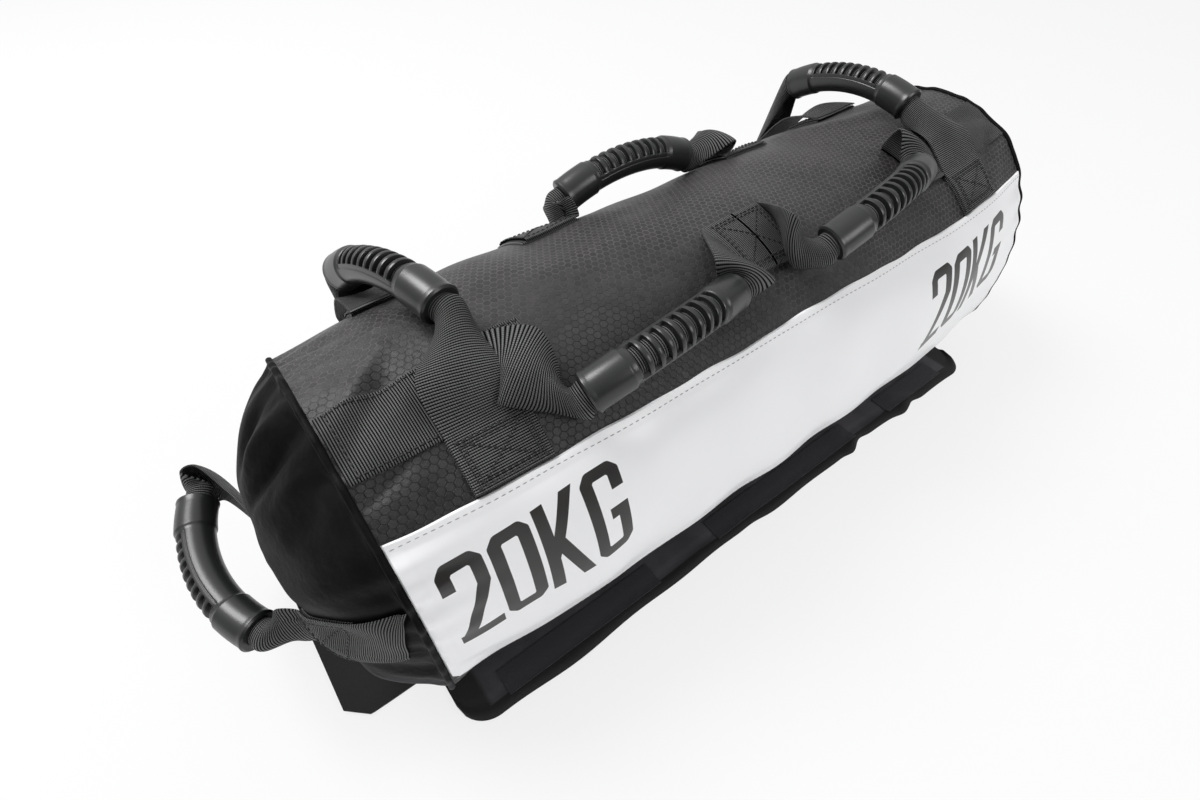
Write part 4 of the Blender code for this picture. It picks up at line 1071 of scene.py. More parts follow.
def long_route(feet, arc, sewn_runs, legs, middle, heading, outward, up=None):
    """A handle along the bag; without its own up direction its webbing turns towards the grip."""
    def sewn(end, s, t):
        return cloth(feet[end] + (s if end == 0 else -s), arc + t, SEWN_LIFT)

    legs = [[over_bag(*place) for place in leg] for leg in legs]
    return dict(sewn=sewn, sewn_runs=sewn_runs, legs=legs, middle=over_bag(*middle),
                heading=heading, outward=outward, up=up)


def end_route(side):
    reach, near = HALF_LENGTH + CAP_BULGE, END_FOOT_NEAR - SEAM_GAP * 2

    def sewn(end, s, t):
        return cap_over(side, s - near if end == 0 else near - s, END_FOOT_Z + t - END_SLANT * s,
                        END_SEWN_LIFT)

    first, *others, middle = (
        np.array([side * (reach + out_share * 2 * GRIP_RADIUS), y_share * HALF_WIDTH, END_FOOT_Z])
        for out_share, y_share in ((0.55, -0.30), (0.30, 0.55), (0.80, 0.84), (1.45, 0.86),
                                   (1.85, 0.25)))
    return dict(sewn=sewn, sewn_runs=(0.049, 0.049), legs=([first], others), middle=middle,
                heading=(side * 0.05, 1, 0), outward=(side, 0, 0), up=(side, 0, 0))


FRONT_OUTWARD, BACK_FOOT = (0, -0.60, 0.80), BACK_FOOT_X - SEAM_GAP * 2
ROUTES = {
    "left_cross_handle": cross_route(-1, 1.02, (-0.20, 1, -0.30)),
    "right_cross_handle": cross_route(1, 1.20, (0, 1, -0.17)),
    "front_left_handle": long_route(
        (-OUTER_FOOT_X, -CENTRE_BOX_HALF - 2 * GAP), LONG_STRAP_ARC, (0.010, 0.0213),
        ([(-0.655, 0.735, 0.62)], [(-0.125, 0.68, 0.90)]), (-0.375, 0.615, 1.08), (1, 0.08, 0.05),
        FRONT_OUTWARD),
    "front_right_handle": long_route(
        (CENTRE_BOX_HALF + 2 * GAP, LONG_FOOT_X - 2 * GAP), LONG_STRAP_ARC, (0.0213, 0.036),
        ([(-0.005, 0.68, 1.00)], [(0.565, 0.765, 0.95)]), (0.300, 0.660, 1.42), (1, 0.14, 0.06),
        FRONT_OUTWARD),
    "back_handle": long_route(
        (-BACK_FOOT, BACK_FOOT), BACK_LINE_ARC, (0.038, 0.038),
        ([(-0.262, 1.42, 0.60)], [(0.31, 1.42, 0.60), (0.27, 1.38, 0.90)]), (-0.03, 1.38, 1.10),
        (1, 0, -0.02), (0, -0.08, 1), outline_normal(BACK_LINE_ARC)),
    "left_end_handle": end_route(-1),
    "right_end_handle": end_route(1),
}
for route in ROUTES.values():
    route["heading"] = unit(route["heading"])
    outward = np.asarray(route["outward"], float)
    route["outward"] = unit(outward - route["heading"] * outward.dot(route["heading"]))
    route["across"] = np.cross(route["heading"], route["outward"])
print("handles:", list(ROUTES))

# %% [markdown]
# ## Webbing loops
# At its feet the webbing is flat and forty millimetres wide. Towards the grip it curls until it is
# almost a tube, with its edges turned to the bag, and so it slides through the grip's bore. The
# width is kept while it curls. The loop is one mesh; where its webbing would turn from the bag to
# the handle is worked out and printed: close to the feet where the loop stands up, and spread
# between the feet and the grip where it lies flat.

# %% Webbing loops
LOOP_STEP, LOOP_COLUMNS, LOOP_THICKNESS, LOOP_SHARP = 0.0013, 33, 0.0014, 60
TUBE_SHARE, MOUTH_RUN, UNDER_BOX, SPAN_ROWS, INSIDE_ROWS = 0.93, 0.007, 0.011, 12, 72
TURNS_BETWEEN, BORE_CLEAR = (0.001, 0.013), 0.0080
ACROSS = np.linspace(-0.5, 0.5, LOOP_COLUMNS) * WEBBING


def smooth_curve(points, count):
    """A curve through rows of points, in count equal steps."""
    padded = [points[0] * 2 - points[1]] + points + [points[-1] * 2 - points[-2]]
    spans, path = len(points) - 1, []
    for i in range(count + 1):
        place_on = spans * i / count
        k = min(int(place_on), spans - 1)
        t = place_on - k
        a, b, c, d = padded[k:k + 4]
        path.append(0.5 * ((2 * b) + (c - a) * t + (2 * a - 5 * b + 4 * c - d) * t * t
                           + (3 * b - a - 3 * c + d) * t ** 3))
    return np.array(path)


def arch(route, share):
    """Middle line of a grip: places, headings and outward directions at shares 0 to 1."""
    angle = HALF_ARCH * (2 * np.asarray(share, float) - 1)
    heading, outward = route["heading"], route["outward"]
    sine, cosine = np.sin(angle)[:, None], np.cos(angle)[:, None]
    place = route["middle"] + heading * ARCH_RADIUS * sine + outward * ARCH_RADIUS * (cosine - 1)
    return place, heading * cosine - outward * sine, heading * sine + outward * cosine


def section(centre, run, across, curl):
    """One row of the webbing's middle layer: curl 0 is flat, curl 1 the tube inside the grip."""
    across = unit(across - run * np.dot(across, run))
    bend = max(curl * TUBE_SHARE * 2 * math.pi / WEBBING, 1e-3)
    aside, dip = np.sin(bend * ACROSS) / bend, (1 - np.cos(bend * ACROSS)) / bend
    inward = np.cross(run, across)
    return centre + across * aside[:, None] + inward * (dip - dip.mean())[:, None]


def loop_leg(route, end):
    """Rows of the middle layer from the sewn end to the grip's mouth."""
    def sewn(s, t):
        return route["sewn"](end, s, t)

    way, grip_across, sewn_run = (1, -1)[end], route["across"], route["sewn_runs"][end]
    inside, headings, _ = arch(route, ((0.0, 0.09), (1.0, 0.91))[end])
    mouth, towards = inside[0], headings[0] * way
    t = ACROSS if np.dot(sewn(0.0, 0.01) - sewn(0.0, -0.01), grip_across) > 0 else -ACROSS
    foot = sewn(0.0, t)
    foot_across = unit(foot[-1] - foot[0])
    centres = [foot.mean(0), *route["legs"][end], mouth - towards * MOUTH_RUN, mouth]
    rows, last = [sewn(-UNDER_BOX, t), foot], len(centres) - 1
    for k in range(1, last):
        share = k / last
        run = unit(centres[k + 1] - centres[k - 1]) if k < last - 1 else towards
        across = unit(foot_across * (1 - share) + grip_across * share)
        curl = 0.10 + 0.42 * share ** 2 if k < last - 1 else 0.80
        rows.append(section(centres[k], run * way, across, curl))
    rows += [section(inside[k], headings[k], grip_across, 1) for k in (0, 1)]
    leg = smooth_curve(rows, SPAN_ROWS * (len(rows) - 1))[SPAN_ROWS:1 - SPAN_ROWS]
    count = int(sewn_run / LOOP_STEP)
    under = [sewn(-sewn_run * (1 - k / count), t) for k in range(count)]
    return np.concatenate([np.array(under), leg])


def grid_normals(points):
    """Unit normals of a grid of points, from its neighbours' differences."""
    normal = np.cross(np.gradient(points, axis=0), np.gradient(points, axis=1))
    return normal / np.maximum(np.linalg.norm(normal, axis=-1, keepdims=True), 1e-12)


def swing_with_grip(loop, name, route):
    """Says from where to where the loop's webbing passes from the bag to the handle."""
    foot = (route["sewn"](0, 0.0, 0.0) + route["sewn"](1, 0.0, 0.0)) / 2
    if route["up"] is None:
        to_grip = (route["middle"] - foot) * [0, 1, 1]
        up, low, high = unit(to_grip), HALF_WEBBING + GAP, np.linalg.norm(to_grip) - BORE_CLEAR
    else:
        up, (low, high) = np.array(route["up"], float), TURNS_BETWEEN
    tuple(foot + up * low)
    tuple(foot + up * high)
    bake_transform(loop)
    print(name, "turns", round(low * 1000, 1), "to", round(high * 1000, 1), "mm from its foot line")


def build_loop(name, route):
    first, last = loop_leg(route, 0), loop_leg(route, 1)
    share = np.linspace(0, 1, INSIDE_ROWS + 2)[1:-1]
    inside = np.array([section(place, heading, route["across"], 1)
                       for place, heading, _ in zip(*arch(route, share))])
    middle = np.concatenate([first, inside, last[::-1]])
    normal, line = grid_normals(middle), middle[:, LOOP_COLUMNS // 2]
    if np.dot(normal[len(first) + len(inside) // 2, LOOP_COLUMNS // 2], route["outward"]) < 0:
        normal = -normal
    from_edge = smooth(0, 0.0012, HALF_WEBBING - np.abs(ACROSS))[None, :, None]
    half = LOOP_THICKNESS / 2 * (0.55 + 0.45 * from_edge)
    along = np.concatenate([[0], np.cumsum(np.linalg.norm(np.diff(line, axis=0), axis=1))])
    loop = shell(name + "_webbing", middle + normal * half, middle - normal * half,
                 metres_uv(along, ACROSS), [WEBBING_CLOTH], sharp=LOOP_SHARP)
    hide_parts(name + "_strap")
    swing_with_grip(loop, name, route)
    print(loop.name, round(along[-1] * 1000), "mm of webbing")


for name, route in ROUTES.items():
    build_loop(name, route)

# %% [markdown]
# ## Moulded grips
# A grip is one arched tube of satin plastic. Smooth collars close both ends with a small lip; the
# side that faces away from the bag has a row of slots across it, so that the webbing shows between
# rounded bars, and a fine groove runs round the slots. The grid is drawn closer at every edge.

# %% Grips
BORE, LIP, COLLAR_RUN, COLLAR_EASE, GRIP_SHARP = 0.0072, 0.0110, 0.0205, 0.0008, 34
SLOT_PITCH, SLOT_HALF, SLOT_COUNT, SLOT_DEPTH = 0.0059, 0.00165, 9, 0.0025
SLOT_WRAP, PANEL_WRAP = math.radians(64), math.radians(78)
SLOT_ROUNDING, END_ROUNDING, FLOOR_FROM = 0.0003, 0.0010, 0.97
GROOVE_DEPTH, GROOVE_PAST, GROOVE_WIDTH, GROOVE_TURN = 0.00035, 0.0028, 0.0004, 0.035
SLOT_PLACES = [GRIP_LENGTH / 2 + SLOT_PITCH * (i - (SLOT_COUNT - 1) / 2) for i in range(SLOT_COUNT)]


def spread(values, least):
    """The values in order, without those that come too close to the one before."""
    values = np.array(sorted(values))
    return values[np.concatenate([[True], np.diff(values) > least])]


def grip_stations():
    stations = list(np.linspace(0, GRIP_LENGTH, 61))
    for edge in (0.0004, 0.0010, 0.0016, 0.0030, COLLAR_RUN - COLLAR_EASE, COLLAR_RUN,
                 COLLAR_RUN + COLLAR_EASE):
        stations += [edge, GRIP_LENGTH - edge]
    for place in SLOT_PLACES:
        for step in (SLOT_HALF - 0.0001, SLOT_HALF + 0.0002, SLOT_HALF + 0.0007):
            stations += [place - step, place + step]
    return spread(stations, 0.00009)


def grip_turns():
    turns = list(np.linspace(-math.pi, math.pi, 57)[:-1])
    for wrap in (SLOT_WRAP, PANEL_WRAP):
        for step in (-0.035, -0.012, 0.012, 0.035, 0.06):
            turns += [wrap + step, -wrap - step]
    return spread(turns, 0.008)


def grip_radius(along, turn):
    """The grip's radius, and how much of a slot's floor there is, at places along and round it."""
    from_end = np.minimum(along, GRIP_LENGTH - along)
    collar = smooth(COLLAR_RUN + COLLAR_EASE, COLLAR_RUN - COLLAR_EASE, from_end)
    radius = GRIP_RADIUS + (GRIP_COLLAR - GRIP_RADIUS) * collar
    radius = radius + (LIP - GRIP_COLLAR) * smooth(0.0032, 0.0022, from_end)
    radius = radius - END_ROUNDING * smooth(0.0009, 0.0, from_end)
    window = smooth(SLOT_WRAP + 0.012, SLOT_WRAP - 0.012, np.abs(turn))
    slot, rounded = (
        np.clip(sum(smooth(SLOT_HALF + far, SLOT_HALF - near, np.abs(along - place))
                    for place in SLOT_PLACES), 0, 1)
        for far, near in ((0.0002, 0.0001), (0.0010, 0.0)))
    past_collar = from_end - COLLAR_RUN
    along_it = np.exp(-((np.abs(turn) - PANEL_WRAP) / GROOVE_TURN) ** 2)
    across_it = np.exp(-((past_collar - GROOVE_PAST) / GROOVE_WIDTH) ** 2)
    groove = along_it * smooth(0.002, 0.0035, past_collar) + across_it * (np.abs(turn) < PANEL_WRAP)
    radius = radius - GROOVE_DEPTH * np.clip(groove, 0, 1) - SLOT_ROUNDING * rounded * window
    return radius - SLOT_DEPTH * slot * window, slot * window


def build_grip(name, route):
    along, turn = grip_stations(), grip_turns()
    place, heading, outward = (item[:, None] for item in arch(route, along / GRIP_LENGTH))
    radius, floor = grip_radius(along[:, None], turn[None])
    direction = (outward * np.cos(turn)[None, :, None]
                 + np.cross(heading, outward) * np.sin(turn)[None, :, None])
    uv = metres_uv(along, np.append(turn, math.pi) * GRIP_RADIUS)
    outer, inner = place + direction * radius[..., None], place + direction * BORE
    grip = shell(name + "_moulding", outer, inner, uv, [GRIP_PLASTIC, WEBBING_CLOTH], wrap=True,
                 sharp=GRIP_SHARP)
    pairs = (floor + np.roll(floor, -1, 1)) / 2
    colour_faces(grip, (np.minimum(pairs[:-1], pairs[1:]) > FLOOR_FROM).reshape(-1))
    settle(grip, name, "grip_rubber", name + "_grip")


for name, route in ROUTES.items():
    build_grip(name, route)

# %% [markdown]
# ## Base and closure flap
# The base is one flat cloth that reaches past both ends as a tab with cut corners. The flap hangs
# from its front edge and lies open on the floor: one soft cloth with rounded ends whose free edge
# has waves, because it has been folded up over the zip many times.

# %% Base and flap
BASE_HALF_WIDTH, BASE_TAB, BASE_TAB_HALF_WIDTH, BASE_CORNER = 0.049, 0.058, 0.058, 0.012
FLAP_ROOT, FLAP_FOLD, FLAP_EDGE, FLAP_CORNER, FLAP_OVERHANG = 0.0497, 0.07685, 0.1050, 0.020, 0.004
FLAP_REACH, SHEET, FOLD_HALF, FOLD_Z = HALF_LENGTH + FLAP_OVERHANG, 0.0014, 0.003, 0.001
TAB_FROM, TAB_RUN, TAB_STEP, CORNER_CUT = 0.262, 0.045, 0.003, 0.9
LOOP_TAPE_FROM, LOOP_TAPE_TO, LOOP_TAPE_THICKNESS, LOOP_TAPE_GAP = -0.0820, -0.0990, 0.0007, 0.00005
EDGE_KINKS = ((0.158, 0.008, 0.0026), (0.090, 0.007, 0.0028), (0.176, 0.007, -0.0022),
              (0.107, 0.008, -0.0022), (-0.02, 0.012, -0.0014))
LIFT_KINKS = ((0.162, 0.012, 0.0018), (0.094, 0.011, 0.0020), (-0.012, 0.018, 0.0008),
              (-0.170, 0.022, 0.0008), (0.225, 0.02, 0.0010))


def area_under(height, x):
    return float(np.sum((height[1:] + height[:-1]) * np.diff(x)) / 2)


def sheet_of(name, xs, ys, low, high, materials):
    """A closed sheet between two heights over a grid of places on the floor."""
    return shell(name, np.stack([xs, ys, high], -1), np.stack([xs, ys, low], -1),
                 np.stack([xs, ys], -1), materials)


def base_half_width(x):
    past = np.abs(x) - (FLAP_REACH + CLOTH)
    wide = BASE_HALF_WIDTH + (BASE_TAB_HALF_WIDTH - BASE_HALF_WIDTH) * smooth(0, TAB_STEP, past)
    cut = np.maximum(0, np.abs(x) - (HALF_LENGTH + BASE_TAB - BASE_CORNER))
    return wide - cut * CORNER_CUT


def build_base():
    reach = HALF_LENGTH + BASE_TAB
    x = np.linspace(-reach, reach, 260)
    xs, shares = np.meshgrid(x, np.linspace(-1, 1, 62), indexing="ij")
    ys = shares * base_half_width(xs)
    past = np.clip((np.abs(xs) - TAB_FROM) / TAB_RUN, 0, 1)
    wave, ripple = 1 + np.sin(58 * ys + 14 * xs), 1 + np.sin(90 * xs + 31 * ys)
    lift = past * (0.0012 * wave + 0.0010 * ripple) * (0.3 + 0.7 * np.abs(shares) ** 2)
    base = sheet_of("base_cloth", xs, ys, lift, SHEET + lift, [MATTE])
    area = 2 * area_under(base_half_width(x), x)
    settle(base, "bag", "base_cloth", "base_panel")


def kinks_at(x, kinks):
    return sum(size * np.exp(-((x - at) / wide) ** 2) for at, wide, size in kinks)


def flap_edge(x):
    """How far the flap reaches at x: rounded ends and a slightly wavy edge."""
    into = np.clip(np.abs(x) - (FLAP_REACH - FLAP_CORNER), 0, FLAP_CORNER) / FLAP_CORNER
    rounded = FLAP_CORNER * (1 - np.sqrt(np.maximum(0, 1 - into ** 2)))
    wave = 0.0011 * np.sin(31 * x + 0.8) + 0.0008 * np.sin(73 * x + 2.0)
    return FLAP_EDGE + wave + kinks_at(x, EDGE_KINKS) - rounded


def flap_lift(x, share):
    wave = 0.0005 * (1 + np.sin(26 * x + 1.1)) + 0.0003 * (1 + np.sin(67 * x + 2.6 * share))
    rolled = (0.0012 * np.exp(-((share - 0.93) / 0.055) ** 2)
              - 0.0006 * np.exp(-((share - 0.80) / 0.04) ** 2))
    return (wave + kinks_at(x, LIFT_KINKS)) * share ** 1.6 + np.maximum(rolled, -0.0004)


def build_flap():
    x, share = np.linspace(-FLAP_REACH, FLAP_REACH, 300), np.linspace(0, 1, 40)
    xs, shares = np.meshgrid(x, share, indexing="ij")
    ys = -(FLAP_ROOT + shares * (flap_edge(xs) - FLAP_ROOT))
    lift = SEAM_GAP + flap_lift(xs, shares)
    edge = smooth(1.0, 0.985, shares) * 0.5 + 0.5
    flap = sheet_of("flap_cloth", xs, ys, lift, lift + SHEET * edge, [FLAP_LINING, MATTE])
    upper = (len(x) - 1) * (len(share) - 1)
    colour_faces(flap, np.arange(len(flap.data.polygons)) >= upper)
    area = area_under(flap_edge(x) - FLAP_ROOT, x)
    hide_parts("closure_flap_root", "closure_flap")
    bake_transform(flap)


def build_loop_tape(word, low, high):
    columns = max(20, int((high - low) * HALF_LENGTH / 0.003))
    x = np.linspace(low * HALF_LENGTH, high * HALF_LENGTH, columns)
    xs, ys = np.meshgrid(x, np.linspace(LOOP_TAPE_FROM, LOOP_TAPE_TO, 12), indexing="ij")
    share = (-ys - FLAP_ROOT) / (flap_edge(xs) - FLAP_ROOT)
    under = SEAM_GAP + flap_lift(xs, share) + SHEET + LOOP_TAPE_GAP
    tape = sheet_of("loop_tape_sewn_" + word, xs, ys, under, under + LOOP_TAPE_THICKNESS,
                    [LOOP_FUZZ])
    settle(tape, "flap", "hook_and_loop", "loop_tape_" + word)


build_base()
build_flap()
for word, (low, high) in HOOK_REACH.items():
    build_loop_tape(word, low, high)

# %% [markdown]
# ## Zip
# The zip runs along the slit, low at the front and mostly in the flap's and the bag's shade. Both
# tapes are sewn beside the slit, and the moulded teeth stand on their inner edges, half a pitch
# apart. Geometry Nodes sets one small tooth at each step of the two edge lines. The slider, its
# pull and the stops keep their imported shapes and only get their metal.

# %% Instances along lines
def along_lines_tree():
    """Sets a small solid at every step of the lines, long side along them, top side to 'up'."""
    tree = bpy.data.node_groups.new("set_along_lines", "GeometryNodeTree")
    for label, kind in (("Geometry", "Geometry"), ("Pitch", "Float"), ("Size", "Vector"),
                        ("Finish", "Material"), ("Round", "Bool")):
        tree.interface.new_socket(label, in_out="INPUT", socket_type="NodeSocket" + kind)
    tree.interface.new_socket("Geometry", in_out="OUTPUT", socket_type="NodeSocketGeometry")
    entry = add(tree, "NodeGroupInput")
    lines, pitch, size, finish, rounded = (Wire(entry, i) for i in range(5))

    def step(kind, inputs=None, **settings):
        return Wire(add(tree, kind, inputs, **settings))

    curve = step("GeometryNodeMeshToCurve", {0: lines})
    even = step("GeometryNodeResampleCurve", {"Curve": curve, "Length": pitch}, mode="LENGTH")
    points = add(tree, "GeometryNodeCurveToPoints", {"Curve": even}, mode="EVALUATED")
    up = add(tree, "GeometryNodeInputNamedAttribute", {"Name": "up"}, data_type="FLOAT_VECTOR")
    ahead = step("FunctionNodeAlignRotationToVector", {"Vector": Wire(points, "Tangent")}, axis="X")
    turned = step("FunctionNodeAlignRotationToVector",
                  {"Rotation": ahead, "Vector": Wire(up, "Attribute")}, axis="Z", pivot_axis="X")
    ball = step("GeometryNodeMeshIcoSphere", {"Radius": 0.5, "Subdivisions": 2})
    solid = step("GeometryNodeSwitch", {
        "Switch": rounded, "False": step("GeometryNodeMeshCube"),
        "True": step("GeometryNodeSetShadeSmooth", {0: ball})}, input_type="GEOMETRY")
    placed = step("GeometryNodeInstanceOnPoints", {
        "Points": Wire(points, "Points"), "Instance": solid, "Rotation": turned, "Scale": size})
    real = step("GeometryNodeRealizeInstances", {0: placed})
    made = step("GeometryNodeSetMaterial", {"Geometry": real, "Material": finish})
    add(tree, "NodeGroupOutput", {0: made})
    return tree


ALONG_LINES = along_lines_tree()


def set_along(name, lines, pitch, size, finish, rounded=True):
    """A mesh of small solids set along lines; each line is (points, up directions)."""
    mesh = bpy.data.meshes.new(name + "_lines")
    ups = np.concatenate([np.broadcast_to(up, line.shape) for line, up in lines])
    edges, start = [], 0
    for line, _ in lines:
        edges += [(start + i, start + i + 1) for i in range(len(line) - 1)]
        start += len(line)
    mesh.from_pydata(np.concatenate([line for line, _ in lines]).tolist(), edges, [])
    mesh.attributes.new("up", "FLOAT_VECTOR", "POINT").data.foreach_set("vector", ups.reshape(-1))
    guide = new_object(name + "_guide", mesh)
    modifier = guide.modifiers.new("Set", "NODES")
    modifier.node_group = ALONG_LINES
    values = {"Pitch": pitch, "Size": size, "Finish": finish, "Round": rounded}
    for item in ALONG_LINES.interface.items_tree:
        if item.in_out == "INPUT" and item.name in values:
            modifier[item.identifier] = values[item.name]
    view = bpy.context.evaluated_depsgraph_get()
    made = bpy.data.meshes.new_from_object(guide.evaluated_get(view))
    made.name = name
    bpy.data.objects.remove(guide, do_unlink=True)
    return new_object(name, made)


# %% Zip
TOOTH_SIZE, TOOTH_PITCH, TOOTH_ROW, TOOTH_LIFT = (0.0009, 0.0024, 0.0013), 0.0018, 0.0008, 0.0011
ZIP_TAPE_THICKNESS, ZIP_TAPE_LAP, ZIP_LINE_STEP = 0.0008, 0.0006, 0.0015


def zip_line(arc, start):
    x = np.arange(-ZIP_REACH + 0.001 + start, ZIP_REACH - 0.001, ZIP_LINE_STEP)
    return cloth(x, arc, TOOTH_LIFT), outline_normal(np.full(x.shape, arc))


def build_zip():
    half = ZIP_SPLIT / 2
    for word, sign, start in (("upper", 1, 0.0), ("lower", -1, TOOTH_PITCH / 2)):
        arcs = sorted(ZIP_ARC + sign * away
                      for away in (half - ZIP_TAPE_LAP, half + ZIP_TAPE_WIDTH))
        tape = patch_on_bag("zip_tape_cloth_" + word, (-ZIP_REACH, ZIP_REACH), arcs,
                            ZIP_TAPE_THICKNESS, MATTE, step=ZIP_LINE_STEP)
        settle(tape, "bag", "base_cloth", "zip_tape_" + word)
        line = zip_line(ZIP_ARC + sign * TOOTH_ROW, start)
        teeth = set_along("zip_teeth_row_" + word, [line], TOOTH_PITCH, TOOTH_SIZE, ZIP_PLASTIC,
                          rounded=False)
        settle(teeth, "bag", "zip_plastic", "zip_teeth_" + word)


def refinish(name, finish):
    """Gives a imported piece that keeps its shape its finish."""
    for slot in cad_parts[name].material_slots:
        slot.material = finish


build_zip()
for name in ("zip_stop_left", "zip_stop_right", "zip_slider", "zip_pull"):
    refinish(name, ZIP_METAL)

# %% [markdown]
# ## Fillers
# Two tied liner bags of dry sand fill the trainer, one from each side of the middle. They are never
# seen from outside, so they are plain: a gathered neck, a tie round it and a full belly that stays
# clear of the folds in the ripstop.

# %% Fillers
FILLER_INSET, SAND_INSET, LINER_THICKNESS, FILLER_TURNS, PACKED = 0.0066, 0.0086, 0.0008, 96, 0.95
NECK_RADIUS, NECK_MOUTH, NECK_LENGTH, NECK_SHOULDER = 0.014, 0.006, 0.022, 0.030
SHOULDER_RINGS = ((0.45, 0.40), (0.70, 0.62), (0.88, 0.85), (0.97, 1.1), (1.0, 1.4))
END_RINGS = (0.985, 0.95, 0.88, 0.76, 0.6, 0.4, 0.2, 0.05)


def filler_grid(side, inset, neck, thickness):
    """Rings of a filler from its neck to the middle of its rounded end."""
    arcs = np.linspace(0, ROUND, FILLER_TURNS + 1)[:-1]
    mid = skin(0.0, arcs)
    turn = np.arctan2(mid[:, 2] - MIDDLE_Z, mid[:, 1])
    shoulder, rings = NECK_MOUTH + NECK_LENGTH, []

    def add_ring(x, y, z):
        rings.append(np.stack([np.full(FILLER_TURNS, side * x), y, z], -1))

    def add_belly_ring(x, share):
        at = skin(side * min(abs(x), HALF_LENGTH), arcs, -inset - thickness)
        add_ring(x, at[:, 1] * share, MIDDLE_Z + (at[:, 2] - MIDDLE_Z) * share)

    for x in np.linspace(NECK_MOUTH, shoulder, 6) if neck else (shoulder + 0.006,):
        radius = (NECK_RADIUS if neck else NECK_RADIUS - 0.003) - thickness
        gather = 1 + (0.04 * np.cos(13 * turn) if neck else 0)
        add_ring(x, radius * gather * np.cos(turn), MIDDLE_Z + radius * gather * np.sin(turn))
    for share, x_share in SHOULDER_RINGS:
        add_belly_ring(shoulder + NECK_SHOULDER * x_share + (0 if neck else 0.004), share)
    for x in np.linspace(0.085, 0.240, 14):
        add_belly_ring(x, 1.0)
    for share in END_RINGS:
        bulge = (CAP_BULGE - inset - 0.002 - thickness) * (1 - share ** CAP_POWER)
        add_belly_ring(HALF_LENGTH - 0.004 + bulge, share * 0.985)
    return np.array(rings)


def build_filler(word, side):
    outer, inner = (filler_grid(side, FILLER_INSET, True, inward)
                    for inward in (0.0, LINER_THICKNESS))
    inner[0, :, 0] = outer[0, :, 0]
    uv = metres_uv(np.linspace(0, 0.4, len(outer)), np.linspace(0, ROUND, FILLER_TURNS + 1))
    liner = shell("filler_liner_" + word, outer, inner, uv, [LINER], wrap=True)
    settle(liner, "bag", "filler_cloth", "filler_bag_" + word)
    rings = filler_grid(side, SAND_INSET, False, 0.0)
    points = np.concatenate([rings.reshape(-1, 3), [rings[0].mean(0), rings[-1].mean(0)]])
    faces = grid_corners(*rings.shape[:2], True)[0].tolist()
    count = len(points) - 2
    last = count - FILLER_TURNS
    pairs = [(k, (k + 1) % FILLER_TURNS) for k in range(FILLER_TURNS)]
    caps = [(b, a, count) for a, b in pairs] + [(last + a, last + b, count + 1) for a, b in pairs]
    sand = mesh_object("sand_fill_" + word, points, faces + caps,
                       [np.zeros((len(faces) * 4 + len(caps) * 3, 2))], [SAND])
    settle(sand, "bag", "sand", "sand_" + word)


for word, side in SIDES:
    build_filler(word, side)
    refinish("filler_tie_" + word, ZIP_PLASTIC)

# %% [markdown]
# ## Stitching
# Every box has an outline and a cross sewn through it, and the boxes at the front have a second
# outline. The band has a row of stitches along each edge, and the webbing is sewn down along its
# sides. The stitches are short rounded threads that sink a little into the cloth. One mesh holds
# all the stitches of one thread.

# %% Stitching
STITCH, STITCH_PITCH, THREAD_WIDTH, THREAD_FLAT = 0.0023, 0.0031, 0.00092, 0.8
PALE_STITCH, PALE_PITCH = (0.0026, 0.0006, 0.0004), 0.0036
PALE_LIFT, PALE_FROM_EDGE, BOX_INSET, SECOND_INSET = 0.0015, 0.0038, 0.0035, 0.0055
LOW_THREAD, HIGH_THREAD, END_THREAD = 0.0018, 0.0034, 0.0037
LONG_BOX_RUN, STRAP_INSET, HOOK_INSET, HOOK_THREAD = 0.036, 0.0025, 0.002, 0.0012
ZIP_SEAM, ZIP_THREAD, FROM_END = 0.0062, 0.0010, 0.004


def bag_line(x0, arc0, x1, arc1, lift):
    count = max(3, int(math.hypot(x1 - x0, arc1 - arc0) / 0.002))
    x, arc = np.linspace(x0, x1, count), np.linspace(arc0, arc1, count)
    return cloth(x, arc, lift), outline_normal(arc)


def end_line(side, y0, z0, y1, z1):
    y, z = np.linspace(y0, y1, 18), np.linspace(z0, z1, 18)
    z = z + END_SLANT * (np.abs(y) - END_FOOT_NEAR)
    return cap_over(side, y, z, END_THREAD), np.array([side, 0.0, 0.0])


def box_corners(reach, other_reach, inset, cross):
    """The runs of a box's outline, and of its cross, as x0, up0, x1, up1."""
    (a0, a1), (b0, b1) = ((low + inset, high - inset) for low, high in (reach, other_reach))
    outline_runs = [(a0, b0, a1, b0), (a1, b0, a1, b1), (a1, b1, a0, b1), (a0, b1, a0, b0)]
    return outline_runs + ([(a0, b0, a1, b1), (a0, b1, a1, b0)] if cross else [])


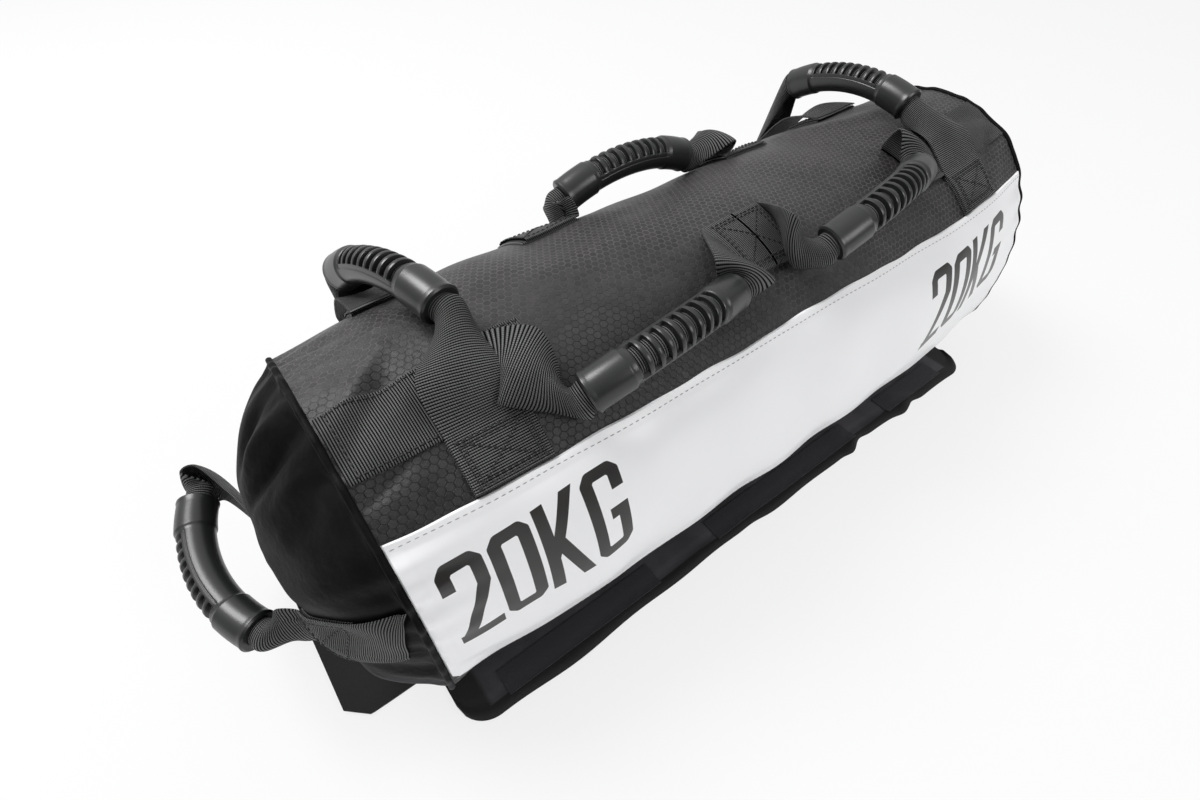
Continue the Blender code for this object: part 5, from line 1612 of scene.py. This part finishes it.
def dark_lines():
    centre = (-CENTRE_BOX_HALF, CENTRE_BOX_HALF)
    left_reach = (-HALF_LENGTH + FROM_END, -LONG_FOOT_X)
    box_end = CROSS_BACK[0] + CROSS_BOX
    back_box, back_run = (CROSS_BACK[0], box_end), (box_end, CROSS_BACK[1])
    boxes = []  # reach along the bag, reach round it, lift, inset, with a cross or not
    for _, side in SIDES:
        x_reach = around(side * CROSS_STRAP_X)
        boxes += [(x_reach, CROSS_FRONT, HIGH_THREAD, BOX_INSET, True),
                  (x_reach, CROSS_FRONT, HIGH_THREAD, SECOND_INSET, False),
                  (x_reach, back_box, HIGH_THREAD, BOX_INSET, True),
                  (x_reach, back_run, LOW_THREAD, BOX_INSET, False)]
    boxes += [(centre, LONG_ARCS, HIGH_THREAD, BOX_INSET, True),
              (centre, LONG_ARCS, HIGH_THREAD, SECOND_INSET, False),
              ((LONG_FOOT_X, LONG_FOOT_X + LONG_BOX_RUN), LONG_ARCS, HIGH_THREAD, BOX_INSET, True),
              (left_reach, LONG_ARCS, LOW_THREAD, STRAP_INSET, False)]
    boxes += [(BACK_BOXES[word], BACK_ARCS, HIGH_THREAD, BOX_INSET, True) for word, _ in SIDES]
    boxes += [((low * HALF_LENGTH, high * HALF_LENGTH), (HOOK_BOTTOM, HOOK_TOP), HOOK_THREAD,
               HOOK_INSET, False) for low, high in HOOK_REACH.values()]
    lines = [bag_line(*run, lift) for x_reach, arc_reach, lift, inset, cross in boxes
             for run in box_corners(x_reach, arc_reach, inset, cross)]
    for sign in (-1, 1):
        y_reach = sorted((sign * END_FOOT_NEAR, sign * (END_FOOT_NEAR + END_BOX)))
        for run in box_corners(y_reach, around(END_FOOT_Z), BOX_INSET, True):
            lines += [end_line(side, *run) for _, side in SIDES]
    for arc in (ZIP_ARC + ZIP_SEAM, ZIP_ARC - ZIP_SEAM):
        lines.append(bag_line(-ZIP_REACH, arc, ZIP_REACH, arc, ZIP_THREAD))
    return lines


dark = set_along("dark_stitches", dark_lines(), STITCH_PITCH,
                 (STITCH, THREAD_WIDTH, THREAD_WIDTH * THREAD_FLAT), THREAD)
settle(dark, "bag", "webbing")
edges = [bag_line(-HALF_LENGTH + FROM_END, arc, HALF_LENGTH - FROM_END, arc, PALE_LIFT)
         for arc in (BAND_TOP - PALE_FROM_EDGE, BAND_BOTTOM + PALE_FROM_EDGE)]
pale = set_along("band_stitches", edges, PALE_PITCH, PALE_STITCH, PALE_THREAD)
settle(pale, "bag", "white_band")
